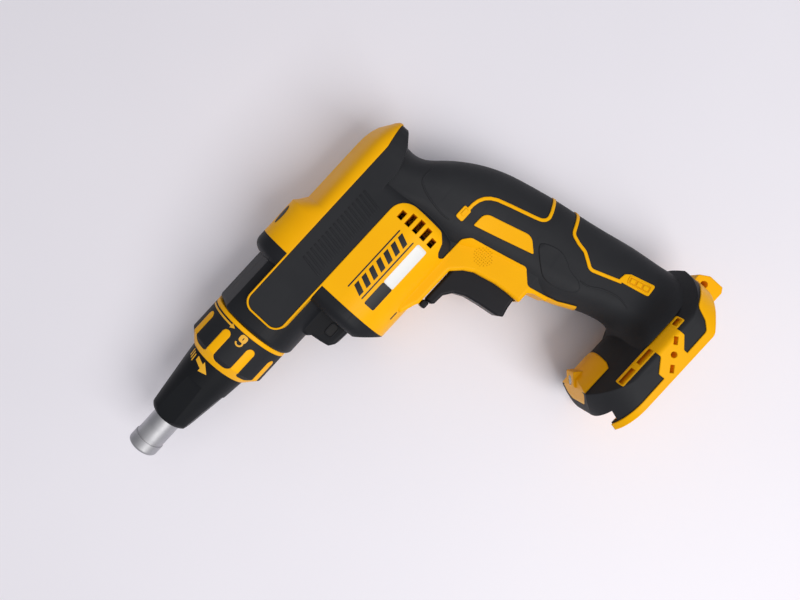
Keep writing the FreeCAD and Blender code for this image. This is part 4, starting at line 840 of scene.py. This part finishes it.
@dataclass
class CollarGroup:
    """Depth collar: arrow band and padlock sign printed on its grip."""

    body: str = "depth_collar"
    arrow_back: float = 3.7
    arrow_turns: Pair = (20.0, 78.5)
    arrow_width: float = 1.0
    head_width: float = 3.0
    head_turn: float = 6.5
    lock_back: float = 4.9
    lock_turn: float = 102.0
    lock_size: Pair = (4.18, 4.4)
    lock_round: float = 1.54
    shackle_back: float = 2.86
    shackle_shift: float = 0.36
    shackle_reach: Pair = (1.62, 1.8)
    shackle_turns: Pair = (-60.0, 170.0)
    shackle_points: int = 40
    line_width: float = 0.9
    keyhole_size: Pair = (1.5, 0.5)
    keyhole_round: float = 0.24
    keyhole_height: float = 0.096
    print_height: float = 0.06
    print_points: int = 96

    def build(self, shop: Workshop) -> None:
        """Makes the turning arrow and the open padlock, both laid on the collar's round."""
        radius = edge_of("collar_grip", 1, True)
        rear = edge_of("collar_core", 0, True)
        surface = round_surface(radius)
        start, end = (math.radians(turn) * radius for turn in self.arrow_turns)
        x = rear - self.arrow_back
        half = self.arrow_width / 2
        band = np.array([(x - half, start), (x + half, start), (x + half, end), (x - half, end)])
        tip = end + math.radians(self.head_turn) * radius
        wing = self.head_width / 2
        head = np.array([(x - wing, end), (x + wing, end), (x, tip)])
        shells = [plate_shell(even(part, self.print_points), surface, self.print_height)
                  for part in (band, head)]
        lock = (rear - self.lock_back, math.radians(self.lock_turn) * radius)
        shells += self.padlock(surface, *lock)
        shop.piece("collar_print", shells, INK, self.body)
        keyhole = rounded_box(*self.keyhole_size, self.keyhole_round, 32) + lock
        shop.piece("collar_keyhole", [plate_shell(keyhole, surface, self.keyhole_height)],
                   DARK_INK, self.body)

    def padlock(self, surface: Surface, x: float, arc: float) -> list[Shell]:
        """Padlock body as a squarish disc, and its shackle as an arc swung open beside it.

        Args:
            surface: the skin that carries it.
            x: place of its middle.
            arc: arc length of its middle.

        Returns:
            The shells of body and shackle.
        """
        body = rounded_box(*self.lock_size, self.lock_round, 64) + (x, arc)
        turn = np.radians(np.linspace(*self.shackle_turns, self.shackle_points))
        along, across = self.shackle_reach
        path = np.stack([x - self.shackle_back - along * np.sin(turn),
                         arc - self.shackle_shift + across * np.cos(turn)], -1)
        return [plate_shell(body, surface, self.print_height),
                bead_shell(path, np.full(len(path), self.line_width),
                           np.full(len(path), self.print_height), surface)]


@dataclass
class BarrelGroup:
    """Barrel trim on both sides: finger ribs, the bare name place, bare plates and roof plates."""

    body: str = "housing"
    ribs: int = 17
    rib_start: float = 3.6
    rib_pitch: float = 2.8
    rib_top: float = 0.6
    rib_length: float = 12.4
    rib_width: float = 1.3
    rib_height: float = 0.4
    rib_lean: float = -2.0
    rib_fade: float = 0.4
    rib_points: int = 20
    grip_sunk: float = 0.5
    plate_height: float = 0.08
    plate_round: float = 0.9
    line_size: Pair = (39.0, 0.7)
    line_round: float = 0.3
    line_levels: Pair = (-26.3, -35.6)
    name_place: float = 27.8
    stripes: int = 7
    stripe_pitch: float = 5.4
    stripe_size: Pair = (3.2, 5.8)
    stripe_slant: float = 2.4
    stripe_points: int = 80
    plate_level: float = -41.3
    plate_tall: float = 6.8
    dark_span: Pair = (7.8, 22.3)
    pale_span: Pair = (22.3, 48.3)
    slit_place: Pair = (12.8, -59.0)
    slit_size: Pair = (5.2, 1.1)
    slit_round: float = 0.5
    roof_tilt: float = 45.0
    roof_height: float = 0.2
    roof_bevel: float = 0.08
    roof_corners: Corners = (
        (4.8, 3.4), (12.5, 6.6), (19.8, 5.6), (14.6, 1.6))

    def build(self, shop: Workshop) -> None:
        """Makes the trim for both sides."""
        half = edge_of("gear_case", 2, True)
        front = edge_of("bearing_plate", 0, False)
        drop = -(edge_of("rotor_core", 1, True) + edge_of("rotor_core", 1, False)) / 2
        for side in Side:
            self.side_ribs(shop, barrel_surface(half - self.grip_sunk, drop, side), front, side)
            self.plates(shop, barrel_surface(half, drop, side), front, side)
            self.roof_plate(shop, front, side)

    def side_ribs(self, shop: Workshop, surface: Surface, front: float, side: Side) -> None:
        """Row of slim beads, each fading out at both ends.

        Args:
            shop: makes the pieces and keeps the finishes.
            surface: the skin that carries it.
            front: place of the shell's front, in millimetres.
            side: the tool's side.
        """
        shares = np.linspace(0, 1, self.rib_points)
        fade = np.sin(shares * math.pi) ** self.rib_fade
        shells = []
        for index in range(self.ribs):
            x = front + self.rib_start + index * self.rib_pitch
            path = np.stack([x + self.rib_lean * (shares - 0.5),
                             self.rib_top - shares * self.rib_length], -1)
            width = np.full(self.rib_points, self.rib_width)
            shells.append(bead_shell(path, width, fade * self.rib_height, surface))
        shop.piece(f"barrel_ribs_{side.word}", shells, GRIP, self.body)

    def span_box(self, front: float, span: Pair) -> np.ndarray:
        """Outline of a bare plate between two places behind the shell's front."""
        middle = (front + sum(span) / 2, self.plate_level)
        return rounded_box(span[1] - span[0], self.plate_tall, self.plate_round) + middle

    def plates(self, shop: Workshop, surface: Surface, front: float, side: Side) -> None:
        """Name place filled with plain slanted stripes between two lines, bare plates below, and a
        dark plate of painted shade for a slit.

        Args:
            shop: makes the pieces and keeps the finishes.
            surface: the skin that carries it.
            front: place of the shell's front, in millimetres.
            side: the tool's side.
        """
        x = front + self.name_place
        outlines = [rounded_box(*self.line_size, self.line_round) + (x, level)
                    for level in self.line_levels]
        wide, tall = self.stripe_size
        slant = self.stripe_slant / 2
        bar = np.array([(-wide / 2 - slant, -tall / 2), (wide / 2 - slant, -tall / 2),
                        (wide / 2 + slant, tall / 2), (-wide / 2 + slant, tall / 2)])
        for index in range(self.stripes):
            shift = (index - (self.stripes - 1) / 2) * self.stripe_pitch
            outlines.append(even(bar, self.stripe_points)
                            + (x + shift, sum(self.line_levels) / 2))
        outlines.append(self.span_box(front, self.dark_span))
        # The slit is a dark plate: painted shade of the opening.
        slit = rounded_box(*self.slit_size, self.slit_round) + self.slit_place
        outlines.append(slit + (front, 0.0))
        shells = [plate_shell(outline, surface, self.plate_height) for outline in outlines]
        shop.piece(f"panel_marks_{side.word}", shells, DARK_INK, self.body)
        pale = plate_shell(self.span_box(front, self.pale_span), surface, self.plate_height)
        shop.piece(f"panel_plate_{side.word}", [pale], WHITE_INK, self.body)

    def roof_plate(self, shop: Workshop, front: float, side: Side) -> None:
        """Bare dark plate laid on the shoulder of the hump.

        Args:
            shop: makes the pieces and keeps the finishes.
            front: place of the shell's front, in millimetres.
            side: the tool's side.
        """
        nodes = (f"{side.word}_housing", f"{side.word}_grip")
        surface = draped_surface(nodes, side, self.roof_tilt)
        outline = softened(self.roof_corners, rounds=2) + (front, 0.0)
        plate = plate_shell(outline, surface, self.roof_height, self.roof_bevel)
        shop.piece(f"roof_plate_{side.word}", [plate], DARK_INK, self.body)


@dataclass
class GripGroup:
    """Soft handle: raised finger pads, moulded seams, and small windows on the yellow inlay, whose
    floor is a darker plate of painted shade.
    """

    body: str = "housing"
    pad_rear: Corners = (
        (225.2, -83.4), (228.2, -85.0), (231.4, -94.0), (229.4, -100.6), (226.3, -105.2),
        (225.8, -112.4))
    wide_front: Corners = (
        (221.4, -117.0), (216.6, -110.0), (213.6, -98.0), (218.6, -90.6))
    slim_front: Corners = (
        (223.4, -115.6), (220.8, -109.0), (220.6, -98.0), (221.6, -90.6))
    pad_height: float = 0.5
    pad_bevel: float = 0.45
    seam_lines: tuple[Corners, ...] = (
        ((216.5, -17.0), (207.5, -16.4), (204.6, -21.0), (202.8, -28.0), (201.8, -36.0),
         (202.4, -40.6)),
        ((226.2, -112.6), (226.8, -118.0), (231.0, -124.0), (233.6, -134.0), (231.8, -140.0)))
    seam_width: float = 1.1
    seam_height: float = 0.3
    seam_ends: Pair = (0.05, 0.95)
    seam_fade: float = 0.3
    seam_points: int = 60
    box_place: Pair = (245.1, -136.1)
    box_turn: float = -76.0
    box_size: Pair = (11.8, 4.0)
    box_round: float = 0.7
    rim_width: float = 0.7
    floor_height: float = 0.06
    squares: int = 3
    square_pitch: float = 3.6
    square_size: Pair = (2.8, 2.5)
    square_round: float = 0.4
    window_place: Pair = (210.6, -43.9)
    window_size: Pair = (4.4, 2.2)
    window_round: float = 0.5
    window_height: float = 0.3
    window_bevel: float = 0.2
    dot_middle: Pair = (201.2, -66.9)
    dot_pitch: float = 1.3
    dot_rows: tuple[int, ...] = (4, 6, 8, 9, 9, 8, 6, 4)
    dot_radius: float = 0.36
    dot_height: float = 0.06
    dot_bevel: float = 0.05
    dot_sink: float = 0.1
    dot_points: int = 8

    def build(self, shop: Workshop) -> None:
        """Makes the pads, seams, the inlay's floor in painted shade, windows and dots; the right
        pad stays clear of a screw's well.
        """
        for side in Side:
            skin = draped_surface((f"{side.word}_grip", f"{side.word}_housing"), side)
            front = self.wide_front if side is Side.LEFT else self.slim_front
            pad = plate_shell(softened(self.pad_rear + front), skin, self.pad_height,
                              self.pad_bevel)
            seams = [self.seam(line, skin) for line in self.seam_lines]
            # The inlay's floor is a darker yellow plate: painted shade of the recess.
            floor = plate_shell(self.laid(self.box_size, self.box_round), skin, self.floor_height)
            for name, shells, finish, slot in (
                    ("finger_pad", [pad], GRIP, "black_grip"),
                    ("grip_seams", seams, GRIP, "black_grip"),
                    ("inlay_floor_painted_shade", [floor], RECESS_SHADE_YELLOW, "yellow_shell"),
                    ("inlay_windows", self.windows(skin), YELLOW, "yellow_shell"),
                    ("frame_dots", self.dots(skin), YELLOW, "yellow_shell")):
                shop.piece(f"{name}_{side.word}", shells, finish, self.body)

    def seam(self, line: Corners, surface: Surface) -> Shell:
        """Low bead along a soft line, thin at both ends.

        Args:
            line: the seam's corners.
            surface: the skin that carries it.

        Returns:
            The shell.
        """
        path = softened(line, self.seam_points, closed=False)
        shares = np.linspace(*self.seam_ends, self.seam_points)
        fade = np.sin(shares * math.pi) ** self.seam_fade
        return bead_shell(path, fade * self.seam_width, fade * self.seam_height, surface)

    def laid(self, size: Pair, radius: float, shift: float = 0.0) -> np.ndarray:
        """Rounded rectangle laid along the lower box, shifted from its middle along it.

        Args:
            size: length and width.
            radius: radius of its corners.
            shift: how far it lies along the box from its middle.

        Returns:
            Array of points.
        """
        turn = math.radians(self.box_turn)
        spin = np.array([(math.cos(turn), math.sin(turn)), (-math.sin(turn), math.cos(turn))])
        return (rounded_box(*size, radius) + (shift, 0.0)) @ spin + self.box_place

    def windows(self, surface: Surface) -> list[Shell]:
        """Rim and small raised squares in a row on the lower box, and one bar on the upper box.

        Args:
            surface: the skin that carries it.

        Returns:
            The shells.
        """
        shifts = (np.arange(self.squares) - (self.squares - 1) / 2) * self.square_pitch
        outlines = [self.laid(self.square_size, self.square_round, shift) for shift in shifts]
        outlines.append(rounded_box(*self.window_size, self.window_round, 48) + self.window_place)
        rim = rim_shell(self.laid(self.box_size, self.box_round), self.rim_width,
                        self.window_height, surface)
        return [plate_shell(outline, surface, self.window_height, self.window_bevel)
                for outline in outlines] + [rim]

    def dots(self, surface: Surface) -> list[Shell]:
        """Patch of fine round studs, set in rows of different length about its middle.

        Args:
            surface: the skin that carries it.

        Returns:
            The shells.
        """
        turn = np.arange(self.dot_points) / self.dot_points * math.tau
        ring = np.stack([np.cos(turn), np.sin(turn)], -1) * self.dot_radius
        places = [((row - (len(self.dot_rows) - 1) / 2), (spot - (count - 1) / 2))
                  for row, count in enumerate(self.dot_rows) for spot in range(count)]
        middles = np.array(places) * self.dot_pitch + self.dot_middle
        return [plate_shell(ring + middle, surface, self.dot_height, self.dot_bevel,
                            self.dot_sink, steps=2) for middle in middles]


@dataclass
class CaseGroup:
    """Gear case: a hollow's rim on the side of the lower boss, and a dark plate on its floor that
    paints the hollow's shade.
    """

    body: str = "housing"
    hollow_place: Pair = (118.6, -34.4)
    hollow_size: Pair = (7.6, 4.6)
    hollow_round: float = 1.8
    floor_height: float = 0.05
    rim_width: float = 0.9
    rim_height: float = 0.4

    def build(self, shop: Workshop) -> None:
        """Makes the hollow's rim as a closed bead and its floor as a smooth dark plate of painted
        shade.
        """
        for side in Side:
            surface = draped_surface(("gear_case", f"{side.word}_housing"), side)
            outline = rounded_box(*self.hollow_size, self.hollow_round) + self.hollow_place
            # Dark plate on the hollow's floor: painted shade of the recess.
            floor = plate_shell(outline, surface, self.floor_height)
            shop.piece(f"case_hollow_{side.word}", [floor], DARK_INK, self.body)
            rim = rim_shell(outline, self.rim_width, self.rim_height, surface)
            shop.piece(f"case_rim_{side.word}", [rim], RESIN, self.body)


@dataclass
class ScrewGroup:
    """Housing screws with a turned thread and a six-lobed drive in the head."""

    body: str = "housing"
    places: Corners = (
        (149.94, 18.38), (208.94, 10.5), (204.98, -46.9), (239.3, -66.5), (214.48, -104.65),
        (253.16, -122.5), (195.74, -158.38), (255.8, -156.1))
    half_length: float = 9.0
    head_height: float = 2.5
    head_radius: float = 3.3
    head_edge: float = 0.4
    shank_radius: float = 1.7
    thread_pitch: float = 1.2
    thread_depth: float = 0.3
    thread_rings: int = 61
    drive_radius: float = 1.35
    drive_lobes: int = 6
    drive_lobe: float = 0.24
    drive_rim: float = 0.15
    drive_depth: float = 1.4
    drive_taper: float = 0.96
    around: int = 36

    def build(self, shop: Workshop) -> None:
        """Makes all the screws as one piece that stands for the plain ones."""
        shape = self.screw()
        shells = [ring_shell((shape + (*place, 0.0)) * MM) for place in self.places]
        screws = shop.piece("lobed_housing_screws", shells, OXIDE, self.body)
        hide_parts("housing_screws")

    def screw(self) -> np.ndarray:
        """Rings of one screw: a shank whose radius falls off the thread's helix, a round-edged
        head, and a well whose radius waves six times round.

        Returns:
            Array of ring, point on the ring and coordinate, in millimetres.
        """
        turn = np.arange(self.around) / self.around * math.tau
        levels = np.linspace(self.half_length, -self.half_length, self.thread_rings)
        phase = levels[:, None] / self.thread_pitch + turn[None] / math.tau
        thread = self.shank_radius - self.thread_depth * np.abs(2 * (phase - np.floor(phase)) - 1)
        top = -self.half_length - self.head_height
        full = np.full_like(turn, self.head_radius)
        edge, rim = self.head_edge, self.drive_rim
        lobes = self.drive_radius + self.drive_lobe * np.cos(self.drive_lobes * turn)
        head = [(-self.half_length, full), (top + edge, full), (top, full - edge),
                (top, lobes + rim), (top + rim, lobes),
                (top + self.drive_depth, lobes * self.drive_taper)]
        heights = np.concatenate([levels, [level for level, _ in head]])
        radii = np.concatenate([thread, [radius for _, radius in head]])
        return np.stack([radii * np.cos(turn), radii * np.sin(turn),
                         np.broadcast_to(heights[:, None], radii.shape)], -1)


@dataclass
class SpringGroup:
    """Clutch spring, wound from round wire between the gear and the spindle's flange."""

    body: str = "drive_gear"
    joint: str = "spindle_push"
    travel: float = 3.6
    turns: float = 4.5
    wire: float = 1.2
    wire_rings: int = 181
    wire_points: int = 12

    def build(self, shop: Workshop) -> None:
        """Makes the coil between the old spring's ends, and hides the old spring."""
        front, rear = (edge_of("clutch_spring", 0, high) for high in (False, True))
        wire = ring_shell(self.rings(front, rear) * MM)
        coil = shop.piece("wound_clutch_spring", [wire], STEEL, self.body)
        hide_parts("clutch_spring")
        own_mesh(coil)

    def rings(self, front: float, rear: float) -> np.ndarray:
        """Rings of the wire: circles carried round a helix between two places.

        Args:
            front: the spring's front end, in millimetres.
            rear: its rear end.

        Returns:
            Array of ring, point on the ring and coordinate, in millimetres.
        """
        thick = self.wire / 2
        middle = edge_of("clutch_spring", 1, True) - thick
        share = np.linspace(0, 1, self.wire_rings)[:, None]
        turn = share * self.turns * math.tau
        round_wire = np.arange(self.wire_points)[None] / self.wire_points * math.tau
        out = middle + thick * np.cos(round_wire)
        place = front + thick + share * (rear - front - self.wire) + thick * np.sin(round_wire)
        return np.stack([place, out * np.cos(turn), out * np.sin(turn)], -1)


@dataclass(frozen=True)
class Lamp:
    """Square soft lamp: its place and size in metres, and its power in watts."""

    name: str
    place: Place
    size: float
    power: float


@dataclass
class Studio:
    """Pale floor, soft lamps, world and the camera at the photograph's place."""

    floor_half: float = 3.0
    focal_px: float = 600.0
    image_px: tuple[int, int] = (800, 600)
    sensor_mm: float = 36.0
    camera_mm: Place = (155.0, -50.1, 330.0)
    turn_deg: float = -47.3
    near_m: float = 0.01
    lamps: tuple[Lamp, ...] = (Lamp("key", (0.04, -1.05, 1.30), 1.0, 19.0),
                               Lamp("overhead", (0.15, -0.05, 1.3), 1.2, 3.0))
    lamp_aim: Place = (0.15, -0.05, 0.0)
    light_colour: Colour = (1.0, 0.985, 0.97)
    world_colour: Colour = (0.95, 0.95, 1.0)
    world_level: float = 0.34

    def build(self, shop: Workshop) -> None:
        """Makes all of the studio."""
        self.floor(shop)
        self.world()
        for lamp in self.lamps:
            self.hang(lamp)
        self.camera()
        bpy.context.scene.view_settings.view_transform = "Standard"

    def floor(self, shop: Workshop) -> None:
        """Flat floor that the tool lies on: a square grid under its lowest point."""
        level = CAD_BOX[0][2]
        side = np.linspace(-self.floor_half, self.floor_half, 3)
        x, y = np.meshgrid(side, side, indexing="ij")
        points = np.stack([x, y, np.full_like(x, level)], -1).reshape(-1, 3)
        start = np.array([0, 1, 3, 4])
        faces = np.stack([start, start + 3, start + 4, start + 1], -1)
        mesh = bpy.data.meshes.new("floor")
        mesh.from_pydata(points.tolist(), [], faces.tolist())
        mesh.materials.append(shop.material(FLOOR))
        floor = bpy.data.objects.new("floor", mesh)
        bpy.context.scene.collection.objects.link(floor)

    def world(self) -> None:
        """Even pale light from all round."""
        world = bpy.data.worlds.new("studio")
        world.use_nodes = True
        background = world.node_tree.nodes["Background"]
        background.inputs["Color"].default_value = (*self.world_colour, 1.0)
        background.inputs["Strength"].default_value = self.world_level
        bpy.context.scene.world = world

    def hang(self, lamp: Lamp) -> None:
        """Puts up one lamp and turns it to the tool.

        Args:
            lamp: the lamp.
        """
        light = bpy.data.lights.new(lamp.name, "AREA")
        light.size = lamp.size
        light.energy = lamp.power
        light.color = self.light_colour
        holder = bpy.data.objects.new(lamp.name, light)
        way = np.array(self.lamp_aim) - np.array(lamp.place)
        holder.location = lamp.place
        holder.rotation_euler = (math.atan2(math.hypot(way[0], way[1]), -way[2]), 0.0,
                                 math.atan2(way[1], way[0]) - math.pi / 2)
        bpy.context.scene.collection.objects.link(holder)

    def camera(self) -> None:
        """Camera straight above the tool, turned as the photograph is."""
        lens = bpy.data.cameras.new("photo_camera")
        lens.sensor_width = self.sensor_mm
        lens.lens = self.focal_px / self.image_px[0] * self.sensor_mm
        lens.clip_start = self.near_m
        holder = bpy.data.objects.new("photo_camera", lens)
        holder.location = [part * MM for part in self.camera_mm]
        holder.rotation_euler = (0.0, 0.0, math.radians(self.turn_deg))
        bpy.context.scene.collection.objects.link(holder)
        bpy.context.scene.camera = holder


def main() -> None:
    """Dresses the solids, builds the trim in order and sets up the studio."""
    logging.basicConfig(level=logging.INFO, format="%(name)s: %(message)s")
    shop = Workshop()
    for finish, nodes in FINISHED_NODES:
        for node in nodes.split():
            shop.dress(node, finish)
    for group in (NoseGroup(), CollarGroup(), BarrelGroup(), GripGroup(), CaseGroup(),
                  ScrewGroup(), SpringGroup()):
        group.build(shop)
    Studio().build(shop)


if __name__ == "__main__":
    main()
